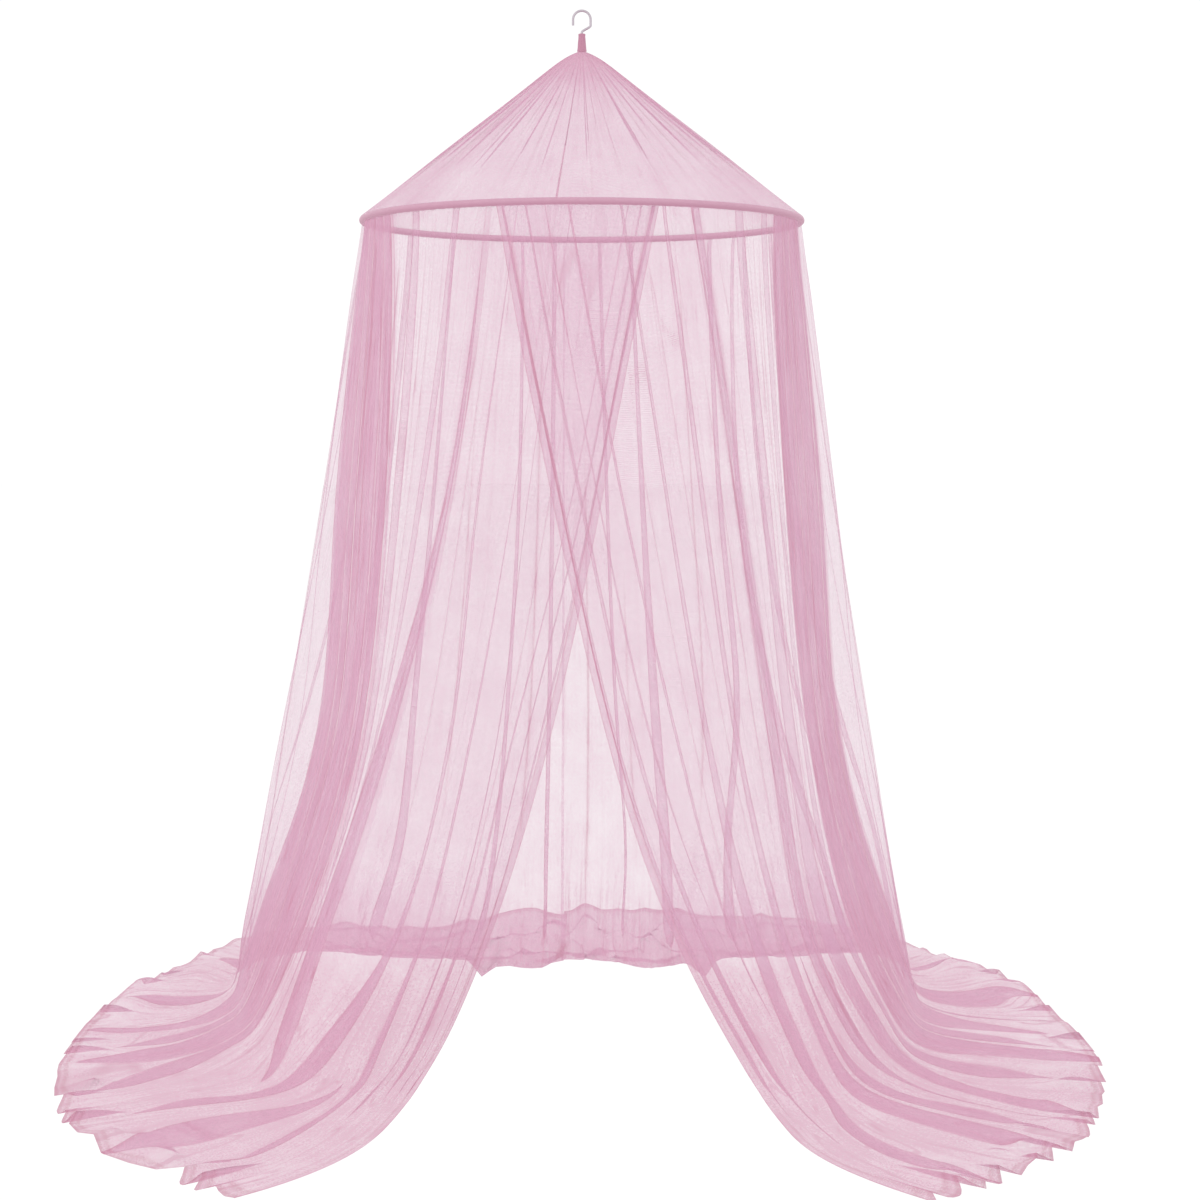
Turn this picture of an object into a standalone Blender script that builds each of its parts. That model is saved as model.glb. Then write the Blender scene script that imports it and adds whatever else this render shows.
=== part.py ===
"""Mosquito net canopy: a wire hook, a net roof on a round hoop, and a skirt of two net panels.

The origin is the hanging point, at the inside top of the hook's bend. +Z is up and the front,
where the two panels cross, faces -Y. The skirt reaches the floor and lies on it in two trains.
All sizes are metres and all angles degrees.
"""
import math
from collections import namedtuple

import bmesh
import bpy
import numpy as np

# Driving sizes
HOOP_RADIUS = 0.500
HOOP_Z = -0.473
FLOOR_DROP = 1.896
ROD_RADIUS = 0.0050
CASING_THICKNESS = 0.0016
NET_THICKNESS = 0.0012
SEWN_GAP = 0.0004
HOOP_STEPS = 48
RING_SIDES = 8

WIRE_RADIUS = 0.0028
HOOK_BEND_RADIUS = 0.020
HOOK_LIMB = 0.013
SHANK_TOP_Z = -0.046
SHANK_LENGTH = 0.040

SLEEVE_TOP_Z = -0.049
SLEEVE_HEIGHT = 0.040
SLEEVE_TOP_RADIUS = 0.0065
SLEEVE_FOOT_RADIUS = 0.0095
SLEEVE_STEPS = 24
NECK_BELOW_SLEEVE = 0.0020

FLOOR_Z = HOOP_Z - FLOOR_DROP
CASING_RADIUS = ROD_RADIUS + SEWN_GAP + CASING_THICKNESS / 2
CASING_OUTSIDE = CASING_RADIUS + CASING_THICKNESS / 2
NECK_RADIUS = WIRE_RADIUS + SEWN_GAP + NET_THICKNESS / 2
SLEEVE_BORE = NECK_RADIUS + NET_THICKNESS / 2 + SEWN_GAP
SKIRT_TOP_Z = HOOP_Z - CASING_OUTSIDE - SEWN_GAP
SEAM_GAP_DEG = 0.04

# Each string is a line of the cloth from the hoop to the hem. It leaves the hoop at hoop_deg,
# counted from the front towards its own side, meets the floor at its foot, passes its turn and
# its lie, and ends at the hem. The x of a table counts towards the panel's own side.
String = namedtuple("String", "hoop_deg foot_x foot_y turn_x turn_y lie_x lie_y hem_x hem_y")

LEFT_STRINGS = (
    String(-19.4, 0.345, -0.34, 0.375, -0.62, 0.45, -0.93, 0.64, -1.09),
    String(-5.0, 0.42, -0.43, 0.49, -0.72, 0.58, -0.95, 0.72, -1.06),
    String(8.0, 0.50, -0.49, 0.62, -0.74, 0.72, -0.91, 0.82, -1.00),
    String(20.0, 0.60, -0.50, 0.74, -0.67, 0.86, -0.80, 0.96, -0.87),
    String(34.0, 0.69, -0.42, 0.83, -0.54, 0.96, -0.64, 1.05, -0.70),
    String(48.0, 0.75, -0.29, 0.90, -0.38, 1.02, -0.46, 1.12, -0.52),
    String(62.0, 0.80, -0.13, 0.95, -0.20, 1.07, -0.27, 1.17, -0.31),
    String(76.0, 0.83, 0.03, 0.97, -0.01, 1.09, -0.05, 1.19, -0.09),
    String(90.0, 0.85, 0.19, 0.98, 0.17, 1.09, 0.15, 1.185, 0.13),
    String(102.0, 0.87, 0.34, 0.98, 0.34, 1.08, 0.34, 1.16, 0.33),
    String(113.0, 0.88, 0.48, 0.96, 0.50, 1.04, 0.52, 1.11, 0.52),
    String(123.0, 0.86, 0.61, 0.91, 0.66, 0.96, 0.72, 1.01, 0.77),
    String(133.0, 0.77, 0.69, 0.82, 0.78, 0.87, 0.88, 0.92, 0.95),
    String(144.0, 0.61, 0.67, 0.64, 0.81, 0.68, 0.97, 0.71, 1.08),
    String(158.0, 0.36, 0.62, 0.37, 0.79, 0.38, 0.99, 0.40, 1.17),
    String(174.3, 0.06, 0.59, 0.06, 0.76, 0.06, 0.98, 0.06, 1.20),
)

RIGHT_STRINGS = (
    String(-19.8, 0.385, -0.46, 0.41, -0.66, 0.47, -0.93, 0.66, -1.11),
    String(-5.0, 0.46, -0.50, 0.53, -0.73, 0.62, -0.95, 0.76, -1.05),
    String(8.0, 0.54, -0.52, 0.66, -0.73, 0.76, -0.89, 0.86, -0.96),
    String(20.0, 0.62, -0.49, 0.77, -0.64, 0.89, -0.75, 0.99, -0.82),
    String(34.0, 0.70, -0.39, 0.85, -0.51, 0.97, -0.60, 1.07, -0.65),
    String(48.0, 0.74, -0.27, 0.90, -0.36, 1.03, -0.43, 1.13, -0.47),
    String(62.0, 0.78, -0.12, 0.95, -0.19, 1.07, -0.24, 1.17, -0.27),
    String(76.0, 0.80, 0.03, 0.96, -0.02, 1.08, -0.06, 1.175, -0.08),
    String(90.0, 0.81, 0.19, 0.95, 0.15, 1.07, 0.13, 1.155, 0.12),
    String(102.0, 0.82, 0.34, 0.93, 0.32, 1.04, 0.31, 1.12, 0.31),
    String(113.0, 0.82, 0.48, 0.91, 0.47, 1.01, 0.48, 1.09, 0.49),
    String(124.0, 0.82, 0.60, 0.89, 0.63, 0.96, 0.66, 1.02, 0.70),
    String(134.0, 0.76, 0.69, 0.82, 0.76, 0.87, 0.83, 0.91, 0.89),
    String(145.0, 0.62, 0.67, 0.66, 0.80, 0.70, 0.94, 0.73, 1.05),
    String(160.0, 0.37, 0.62, 0.39, 0.78, 0.40, 0.98, 0.42, 1.15),
    String(173.0, 0.14, 0.60, 0.14, 0.76, 0.14, 0.98, 0.15, 1.19),
    String(185.7, -0.06, 0.59, -0.06, 0.76, -0.06, 0.98, -0.06, 1.20),
)

# A pleat doubles the cloth back on itself along a string. Its middle runs from top_deg at the
# hoop to low_deg at the hem, overlap is how far the cloth doubles back, and lay is the side on
# which the upper layer lies.
Pleat = namedtuple("Pleat", "top_deg low_deg half_width overlap depth lay")

LEFT_PLEATS = (
    Pleat(-9.0, -9.0, 2.6, 2.4, 0.005, 1),
    Pleat(7.0, 6.0, 2.6, 2.4, 0.005, -1),
    Pleat(28.0, 26.0, 3.4, 2.8, 0.009, 1),
    Pleat(43.0, 42.0, 3.4, 3.2, 0.014, -1),
    Pleat(58.0, 58.0, 3.6, 3.6, 0.015, 1),
    Pleat(74.0, 74.0, 3.8, 3.8, 0.015, 1),
    Pleat(91.0, 91.0, 3.8, 3.4, 0.014, -1),
    Pleat(112.0, 111.0, 3.6, 3.0, 0.012, 1),
    Pleat(134.0, 133.0, 3.2, 2.3, 0.010, -1),
    Pleat(156.0, 156.0, 3.2, 2.5, 0.010, 1),
)

RIGHT_PLEATS = (
    Pleat(-9.5, -9.5, 2.6, 2.4, 0.005, -1),
    Pleat(7.0, 6.0, 2.6, 2.4, 0.005, 1),
    Pleat(25.0, 24.0, 3.4, 2.8, 0.012, -1),
    Pleat(42.0, 41.0, 3.4, 3.2, 0.014, 1),
    Pleat(58.0, 58.0, 3.6, 3.6, 0.015, -1),
    Pleat(75.0, 75.0, 3.8, 3.6, 0.015, 1),
    Pleat(93.0, 93.0, 3.8, 3.2, 0.014, -1),
    Pleat(114.0, 113.0, 3.6, 3.0, 0.012, 1),
    Pleat(136.0, 136.0, 3.2, 2.2, 0.010, -1),
    Pleat(164.0, 164.0, 3.2, 2.5, 0.010, 1),
)

# Places of a pleat's outer columns of points, in half widths from its middle, and the rows of
# points from the hoop, 0, to the hem, 1.
PLEAT_REACH = 2.2
PLEAT_SHOULDER = 1.05
LEAST_COLUMN_GAP = 1.6
ROWS = (0.0, 0.03, 0.09, 0.18, 0.28, 0.38, 0.47, 0.55, 0.62,
        0.68, 0.73, 0.78, 0.83, 0.88, 0.93, 0.97, 1.0)

# The hanging length of a string as shares of the drop. It runs straight out for STRAIGHT_SHARE of
# its way to the foot, and flares out by FLARE_POWER for the rest.
DROP_STATIONS = (0.0, 0.04, 0.30, 0.58, 0.80, 0.95)
STRAIGHT_SHARE = 0.66
FLARE_POWER = 5

# The pleats are shallow where the cloth is gathered at the hoop and at full depth below that.
# Each rises outwards from the smooth cloth by PLEAT_BIAS depths, and is looser further down.
# Places down a string are shares of its length, and widths across the cloth are degrees, but
# the two spreads are half widths of a pleat.
PLEAT_BIAS = 1.1
BIAS_SPREAD = 3.0
LAY_SPREAD = 2.0
GATHERED_SHARE = 0.45
GATHER_END = 0.10
EDGE_WIDTH = 3.0
CROSSING_END = 0.35
LOOSER_BELOW = 0.50

# The panels' fronts stand off each other, in metres, where they cross above the floor.
FLOOR_START = 0.62
FRONT_FADE = 30.0
FRONT_RELEASE = 0.30
LEFT_STAND_OFF = -0.018
RIGHT_STAND_OFF = 0.028

# Steps for the slopes of the cloth
DEG_STEP = 0.05
V_STEP = 0.001

# Roof folds start just below the apex, run towards the hoop and fade on the way.
ROOF_FOLD_START = 0.10
RoofFold = namedtuple("RoofFold", "deg half_width depth reach")

ROOF_FOLDS = (
    RoofFold(12.0, 7.0, 0.006, 0.60),
    RoofFold(38.0, 8.0, 0.008, 0.75),
    RoofFold(61.0, 6.0, 0.005, 0.55),
    RoofFold(90.0, 9.0, 0.008, 0.70),
    RoofFold(121.0, 7.0, 0.006, 0.60),
    RoofFold(149.0, 8.0, 0.008, 0.75),
    RoofFold(178.0, 7.0, 0.006, 0.55),
    RoofFold(207.0, 8.0, 0.008, 0.75),
    RoofFold(232.0, 7.0, 0.007, 0.70),
    RoofFold(255.0, 6.0, 0.006, 0.80),
    RoofFold(276.0, 6.0, 0.007, 0.75),
    RoofFold(301.0, 8.0, 0.008, 0.70),
    RoofFold(331.0, 7.0, 0.006, 0.65),
)
ROOF_RINGS = (0.02, 0.06, 0.13, 0.24, 0.38, 0.54, 0.72, 0.88, 1.0)


def clear_scene():
    for old in list(bpy.data.objects):
        bpy.data.objects.remove(old, do_unlink=True)


def new_collection(name):
    collection = bpy.data.collections.new(name)
    bpy.context.scene.collection.children.link(collection)
    return collection


def finish_material(name, colour, roughness, metallic):
    material = bpy.data.materials.new(name)
    material.use_nodes = True
    shader = material.node_tree.nodes["Principled BSDF"]
    shader.inputs["Base Color"].default_value = (*colour, 1.0)
    shader.inputs["Roughness"].default_value = roughness
    shader.inputs["Metallic"].default_value = metallic
    return material


def place(node, collection, material, frame):
    for other in list(node.users_collection):
        other.objects.unlink(node)
    collection.objects.link(node)
    node.data.materials.append(material)
    node.parent = frame
    return node


def object_from(bm, name):
    mesh = bpy.data.meshes.new(name)
    bm.to_mesh(mesh)
    bm.free()
    mesh.shade_smooth()
    return bpy.data.objects.new(name, mesh)


def thicken(node, thickness, even):
    wall = node.modifiers.new("thickness", "SOLIDIFY")
    wall.thickness = thickness
    wall.offset = 0.0
    wall.use_even_offset = even


def turn_round(node, steps):
    turn = node.modifiers.new("turned", "SCREW")
    turn.steps = steps
    turn.render_steps = steps
    turn.use_merge_vertices = True
    turn.merge_threshold = SEWN_GAP / 4


def soft_step(x):
    x = np.clip(x, 0.0, 1.0)
    return x * x * (3.0 - 2.0 * x)


def table_curve(rows, column, at):
    """A smooth curve through one column of a table, read at the given hoop angles."""
    place_of = np.array([row.hoop_deg for row in rows])
    value = np.array([getattr(row, column) for row in rows])
    slope = np.gradient(value, place_of)
    k = np.clip(np.searchsorted(place_of, at) - 1, 0, len(rows) - 2)
    span = place_of[k + 1] - place_of[k]
    t = (at - place_of[k]) / span
    return ((2 * t**3 - 3 * t**2 + 1) * value[k] + (t**3 - 2 * t**2 + t) * span * slope[k]
            + (3 * t**2 - 2 * t**3) * value[k + 1] + (t**3 - t**2) * span * slope[k + 1])


def spline_weights(v, count):
    """Weights of a clamped cubic B-spline's control points at v, from 0 to 1."""
    knots = np.concatenate((np.zeros(3), np.linspace(0.0, 1.0, count - 2), np.ones(3)))
    v = np.clip(v, 0.0, 1.0 - 1e-9)
    weights = [((knots[i] <= v) & (v < knots[i + 1])).astype(float) for i in range(len(knots) - 1)]
    for degree in (1, 2, 3):
        for i in range(len(weights) - 1):
            rising = knots[i + degree] - knots[i]
            falling = knots[i + degree + 1] - knots[i + 1]
            up = (v - knots[i]) / rising * weights[i] if rising > 0 else 0.0
            down = (knots[i + degree + 1] - v) / falling * weights[i + 1] if falling > 0 else 0.0
            weights[i] = up + down
        weights.pop()
    return weights


def smooth_cloth(side, strings, deg, v):
    """Points of the unpleated cloth: v runs from the hoop, 0, to the hem, 1."""
    angle = np.radians(deg)
    hoop_x = HOOP_RADIUS * np.sin(angle)
    hoop_y = -HOOP_RADIUS * np.cos(angle)
    foot_x = table_curve(strings, "foot_x", deg)
    foot_y = table_curve(strings, "foot_y", deg)
    drop = SKIRT_TOP_Z - FLOOR_Z
    stations = []
    for share in DROP_STATIONS:
        out = STRAIGHT_SHARE * share + (1 - STRAIGHT_SHARE) * share**FLARE_POWER
        x = hoop_x + (foot_x - hoop_x) * out
        y = hoop_y + (foot_y - hoop_y) * out
        stations.append((x, y, drop * (1 - share)))
    for name in ("foot", "turn", "lie", "hem"):
        x = table_curve(strings, name + "_x", deg)
        y = table_curve(strings, name + "_y", deg)
        stations.append((x, y, 0.0))
    total = [0.0, 0.0, 0.0]
    for weight, point in zip(spline_weights(v, len(stations)), stations):
        for axis in range(3):
            total[axis] = total[axis] + weight * point[axis]
    return np.stack((side * total[0], total[1] + 0 * v, FLOOR_Z + total[2]), axis=-1)


def outward(side, strings, deg, v):
    """Unit vectors square to the unpleated cloth, away from the inside of the canopy."""
    low = np.clip(v - V_STEP, 0.0, 1.0)
    high = np.clip(v + V_STEP, 0.0, 1.0)
    after = smooth_cloth(side, strings, deg + DEG_STEP, v)
    across = after - smooth_cloth(side, strings, deg - DEG_STEP, v)
    along = smooth_cloth(side, strings, deg, high) - smooth_cloth(side, strings, deg, low)
    normal = side * np.cross(along, across)
    return normal / np.linalg.norm(normal, axis=-1, keepdims=True)


def pleated_cloth(side, strings, pleats, stand_off, deg, v):
    """Points of the pleated cloth, midway through its thickness."""
    shift = np.zeros_like(deg)
    rise = np.zeros_like(deg)
    for pleat in pleats:
        middle = pleat.top_deg + (pleat.low_deg - pleat.top_deg) * v
        t = (deg - middle) / pleat.half_width
        shift -= pleat.overlap * pleat.half_width * t * np.exp(-t**2)
        bias = PLEAT_BIAS * np.exp(-(t / BIAS_SPREAD)**2)
        rise += pleat.depth * (bias - pleat.lay * t * np.exp(-(t / LAY_SPREAD)**2))
    front_edge = soft_step((deg - strings[0].hoop_deg) / EDGE_WIDTH)
    back_edge = soft_step((strings[-1].hoop_deg - deg) / EDGE_WIDTH)
    moved = deg + shift * front_edge * back_edge
    rise *= 1 + LOOSER_BELOW * soft_step((v - CROSSING_END) / CROSSING_END)
    gathered = GATHERED_SHARE + (1 - GATHERED_SHARE) * soft_step(v / GATHER_END)
    front = np.exp(-(np.maximum(moved, 0.0) / FRONT_FADE)**2)
    front *= soft_step((FLOOR_START - v) / FRONT_RELEASE)
    direction = outward(side, strings, moved, v)
    direction[..., 2] *= soft_step(v / GATHER_END)
    direction /= np.linalg.norm(direction, axis=-1, keepdims=True)
    away = (rise + stand_off * front) * gathered
    point = smooth_cloth(side, strings, moved, v) + direction * away[..., None]
    point[..., 2] = np.maximum(point[..., 2], FLOOR_Z + NET_THICKNESS)
    return point


def both_faces(side, strings, pleats, stand_off, deg, v):
    """Points of the inner and outer face of the pleated cloth."""
    def at(deg_step, v_step):
        near_v = np.clip(v + v_step, 0.0, 1.0)
        return pleated_cloth(side, strings, pleats, stand_off, deg + deg_step, near_v)

    middle = at(0.0, 0.0)
    across = at(DEG_STEP, 0.0) - at(-DEG_STEP, 0.0)
    along = at(0.0, V_STEP) - at(0.0, -V_STEP)
    normal = side * np.cross(along, across)
    normal /= np.linalg.norm(normal, axis=-1, keepdims=True)
    normal[:, 0, 2] = 0.0
    half = normal * NET_THICKNESS / 2
    return middle - half, middle + half


def fold_place(overlap):
    """How far from a pleat's middle, in half widths, the cloth turns back on itself."""
    halvings = 40
    low = 0.0
    high = math.sqrt(0.5)
    for _ in range(halvings):
        middle = (low + high) / 2
        if overlap * (1 - 2 * middle**2) * math.exp(-middle**2) > 1.0:
            low = middle
        else:
            high = middle
    return low


def panel_columns(strings, pleats):
    """Columns of points across a panel, as pairs of angles at the hoop and at the hem."""
    first = strings[0].hoop_deg
    last = strings[-1].hoop_deg - SEAM_GAP_DEG
    columns = [(first, first)]
    for pleat in pleats:
        fold = fold_place(pleat.overlap)
        for at in (-PLEAT_REACH, -PLEAT_SHOULDER, -fold, 0.0, fold, PLEAT_SHOULDER, PLEAT_REACH):
            top = pleat.top_deg + at * pleat.half_width
            low = pleat.low_deg + at * pleat.half_width
            crowded = abs(at) == PLEAT_REACH and top - columns[-1][0] < LEAST_COLUMN_GAP
            if not crowded:
                columns.append((top, low))
    if last - columns[-1][0] < LEAST_COLUMN_GAP:
        columns.pop()
    columns.append((last, last))
    return np.array(columns)


def skirt_panel(name, side, strings, pleats, stand_off):
    """One net panel: a flat grid, given a second face by extrusion and laid out in its pleats."""
    columns = panel_columns(strings, pleats)
    rows = np.array(ROWS)
    deg = columns[:, :1] + (columns[:, 1:] - columns[:, :1]) * rows
    v = np.broadcast_to(rows, deg.shape)
    inner, outer = both_faces(side, strings, pleats, stand_off, deg, v)
    bm = bmesh.new()
    bmesh.ops.create_grid(bm, x_segments=len(columns) - 1, y_segments=len(rows) - 1, size=1.0)
    grown = bmesh.ops.extrude_face_region(bm, geom=list(bm.faces), use_keep_orig=True)["geom"]
    outer_verts = {part for part in grown if isinstance(part, bmesh.types.BMVert)}
    for vert in bm.verts:
        i = round((vert.co.x + 1) / 2 * (len(columns) - 1))
        j = round((1 - vert.co.y) / 2 * (len(rows) - 1))
        vert.co = outer[i, j] if vert in outer_verts else inner[i, j]
    bmesh.ops.recalc_face_normals(bm, faces=bm.faces)
    if bm.calc_volume(signed=True) < 0:
        bmesh.ops.reverse_faces(bm, faces=bm.faces)
    return object_from(bm, name)


def hoop_rod():
    bpy.ops.mesh.primitive_torus_add(
        major_radius=HOOP_RADIUS, minor_radius=ROD_RADIUS, major_segments=HOOP_STEPS,
        minor_segments=RING_SIDES, location=(0.0, 0.0, HOOP_Z))
    rod = bpy.context.active_object
    rod.name = "hoop"
    rod.data.shade_smooth()
    return rod


def hoop_casing():
    """The cloth tube sewn round the rod, with the slit it was threaded through on its inside."""
    half_turn = math.pi / RING_SIDES
    slit = math.pi - half_turn
    flat = CASING_RADIUS * math.cos(half_turn)
    angles = [math.pi - 2 * half_turn * k for k in range(1, RING_SIDES)]
    profile = [(flat, slit)] + [(CASING_RADIUS, angle) for angle in angles] + [(flat, -slit)]
    bm = bmesh.new()
    verts = []
    for r, angle in profile:
        verts.append(bm.verts.new((HOOP_RADIUS + r * math.cos(angle), 0.0, HOOP_Z + r * math.sin(angle))))
    for upper, lower in zip(verts, verts[1:]):
        bm.edges.new((upper, lower))
    casing = object_from(bm, "hoop_casing")
    turn_round(casing, HOOP_STEPS)
    thicken(casing, CASING_THICKNESS, True)
    return casing


def apex_sleeve():
    top = SLEEVE_TOP_Z
    foot = SLEEVE_TOP_Z - SLEEVE_HEIGHT
    profile = [(SLEEVE_TOP_RADIUS, top), (SLEEVE_FOOT_RADIUS, foot), (SLEEVE_BORE, foot), (SLEEVE_BORE, top)]
    bm = bmesh.new()
    verts = [bm.verts.new((r, 0.0, z)) for r, z in profile]
    for start, end in zip(verts, verts[1:] + verts[:1]):
        bm.edges.new((start, end))
    sleeve = object_from(bm, "apex_sleeve")
    turn_round(sleeve, SLEEVE_STEPS)
    return sleeve


def roof_point(angle, share):
    """A point of the roof: share runs from the neck, 0, to the rim over the casing, 1."""
    slope = math.atan2(SLEEVE_TOP_Z - SLEEVE_HEIGHT - HOOP_Z, HOOP_RADIUS)
    clear = CASING_OUTSIDE + SEWN_GAP + NET_THICKNESS / 2
    rim_r = HOOP_RADIUS + clear * math.sin(slope)
    rim_z = HOOP_Z + clear * math.cos(slope)
    apex_z = SLEEVE_TOP_Z - SLEEVE_HEIGHT - NECK_BELOW_SLEEVE
    rise = 0.0
    for fold in ROOF_FOLDS:
        away = (math.degrees(angle) - fold.deg + 180.0) % 360.0 - 180.0
        fade = min(share / ROOF_FOLD_START, 1.0) * max(0.0, 1 - share / fold.reach)
        rise += fold.depth * math.exp(-(away / fold.half_width)**2) * fade
    r = NECK_RADIUS + (rim_r - NECK_RADIUS) * share + rise * math.sin(slope)
    z = apex_z + (rim_z - apex_z) * share + rise * math.cos(slope)
    return (r * math.cos(angle), r * math.sin(angle), z)


def roof_net():
    """The cone of net, with its neck gathered inside the sleeve."""
    angles = [2 * math.pi * k / HOOP_STEPS for k in range(HOOP_STEPS)]
    bm = bmesh.new()
    made = bmesh.ops.create_circle(bm, segments=HOOP_STEPS, radius=NECK_RADIUS, cap_ends=False)
    ring = made["verts"]
    for vert, angle in zip(ring, angles):
        vert.co = (NECK_RADIUS * math.cos(angle), NECK_RADIUS * math.sin(angle), SLEEVE_TOP_Z)
    edges = list(bm.edges)
    for share in (0.0,) + ROOF_RINGS:
        grown = bmesh.ops.extrude_edge_only(bm, edges=edges)["geom"]
        edges = [part for part in grown if isinstance(part, bmesh.types.BMEdge)]
        for vert in (part for part in grown if isinstance(part, bmesh.types.BMVert)):
            vert.co = roof_point(math.atan2(vert.co.y, vert.co.x), share)
    bmesh.ops.recalc_face_normals(bm, faces=bm.faces)
    roof = object_from(bm, "roof_net")
    thicken(roof, NET_THICKNESS, False)
    return roof


def hook():
    """The wire hook: an open bend, a short tip, and a shank that goes down inside the neck."""
    centre_z = -(HOOK_BEND_RADIUS - WIRE_RADIUS)
    foot_z = centre_z - HOOK_LIMB
    points = [(-HOOK_BEND_RADIUS, foot_z)]
    bend_steps = 12
    for k in range(bend_steps + 1):
        angle = math.pi * (1 - k / bend_steps)
        points.append((HOOK_BEND_RADIUS * math.cos(angle), centre_z + HOOK_BEND_RADIUS * math.sin(angle)))
    crook_steps = 6
    crook_drop = foot_z - SHANK_TOP_Z
    for k in range(crook_steps + 1):
        share = k / crook_steps
        sweep = share * share * (3 - 2 * share)
        points.append((HOOK_BEND_RADIUS * (1 - sweep), foot_z - crook_drop * share))
    points.append((0.0, SHANK_TOP_Z - SHANK_LENGTH))
    curve = bpy.data.curves.new("hook", "CURVE")
    curve.dimensions = "3D"
    curve.bevel_depth = WIRE_RADIUS
    curve.bevel_resolution = 2
    curve.use_fill_caps = True
    spline = curve.splines.new("POLY")
    spline.points.add(len(points) - 1)
    for point, (x, z) in zip(spline.points, points):
        point.co = (x, 0.0, z, 1.0)
    return bpy.data.objects.new("hook", curve)


def build():
    clear_scene()
    parts = new_collection("net_canopy")
    frame = bpy.data.objects.new("canopy_frame", None)
    parts.objects.link(frame)
    wire = finish_material("wire", (0.42, 0.38, 0.42), 0.40, 0.85)
    rod = finish_material("hoop_rod", (0.80, 0.78, 0.78), 0.50, 0.00)
    binding = finish_material("binding", (0.58, 0.28, 0.38), 0.80, 0.00)
    casing = finish_material("casing_cloth", (0.64, 0.39, 0.50), 0.80, 0.00)
    roof = finish_material("roof_net_cloth", (0.78, 0.56, 0.66), 0.75, 0.00)
    skirt = finish_material("skirt_net_cloth", (0.82, 0.62, 0.72), 0.75, 0.00)
    place(hook(), parts, wire, frame)
    place(apex_sleeve(), parts, binding, frame)
    place(roof_net(), parts, roof, frame)
    place(hoop_rod(), parts, rod, frame)
    place(hoop_casing(), parts, casing, frame)
    place(skirt_panel("skirt_left", -1, LEFT_STRINGS, LEFT_PLEATS, LEFT_STAND_OFF), parts, skirt, frame)
    place(skirt_panel("skirt_right", 1, RIGHT_STRINGS, RIGHT_PLEATS, RIGHT_STAND_OFF), parts, skirt, frame)


build()
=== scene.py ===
"""Looks of a hanging mosquito net canopy: sheer net panels, roof, hoop casing, sleeve and hook.

The skirt panels are sheets laid out along strings, lines of the cloth from the hoop to the hem, and
doubled back on themselves in the folds that the tables below place. Lengths are in metres,
and angles are in degrees round the hoop from the front.
"""

import math
from collections import namedtuple

import bmesh
import bpy
import numpy as np
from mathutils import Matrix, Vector


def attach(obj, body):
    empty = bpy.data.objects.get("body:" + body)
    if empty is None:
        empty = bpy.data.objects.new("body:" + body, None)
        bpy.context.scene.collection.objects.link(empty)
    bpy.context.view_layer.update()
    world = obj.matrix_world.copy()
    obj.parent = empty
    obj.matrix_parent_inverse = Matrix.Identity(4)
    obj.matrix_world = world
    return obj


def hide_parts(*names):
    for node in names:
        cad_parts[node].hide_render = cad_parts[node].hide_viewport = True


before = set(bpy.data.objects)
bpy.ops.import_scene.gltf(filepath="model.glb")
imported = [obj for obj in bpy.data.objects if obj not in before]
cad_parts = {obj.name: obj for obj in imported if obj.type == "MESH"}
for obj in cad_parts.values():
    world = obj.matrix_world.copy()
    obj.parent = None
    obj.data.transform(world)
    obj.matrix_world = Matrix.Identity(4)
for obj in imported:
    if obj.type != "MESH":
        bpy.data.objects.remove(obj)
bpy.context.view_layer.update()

# ---------------------------------------------------------------- sizes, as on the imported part
HOOP_RADIUS = 0.500
HOOP_Z = -0.473
FLOOR_DROP = 1.896
FLOOR_Z = HOOP_Z - FLOOR_DROP
CASING_OUTSIDE = 0.0070
SEWN_GAP = 0.0004
SKIRT_TOP_Z = HOOP_Z - CASING_OUTSIDE - SEWN_GAP
NET_CLEAR = 0.0012
SLEEVE_TOP_Z = -0.049
SLEEVE_FOOT_Z = -0.089
NECK_RADIUS = 0.0038
WIRE_RADIUS = 0.0028
HOOK_BEND_RADIUS = 0.020
HOOK_LIMB = 0.013
SHANK_TOP_Z = -0.046
SHANK_LENGTH = 0.040

# The casing's tube and the sleeve are a little fuller than on the part
CASING_PUFF = 0.0078
SLEEVE_EASE = 0.0009

# ---------------------------------------------------------------- strings
# A string leaves the hoop, meets the floor at its foot, turns, lies along the floor and ends at the
# hem. x is counted from the middle towards the panel's side, and y towards the back.
String = namedtuple("String", "hoop_deg foot_x foot_y turn_x turn_y lie_x lie_y hem_x hem_y")

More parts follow.
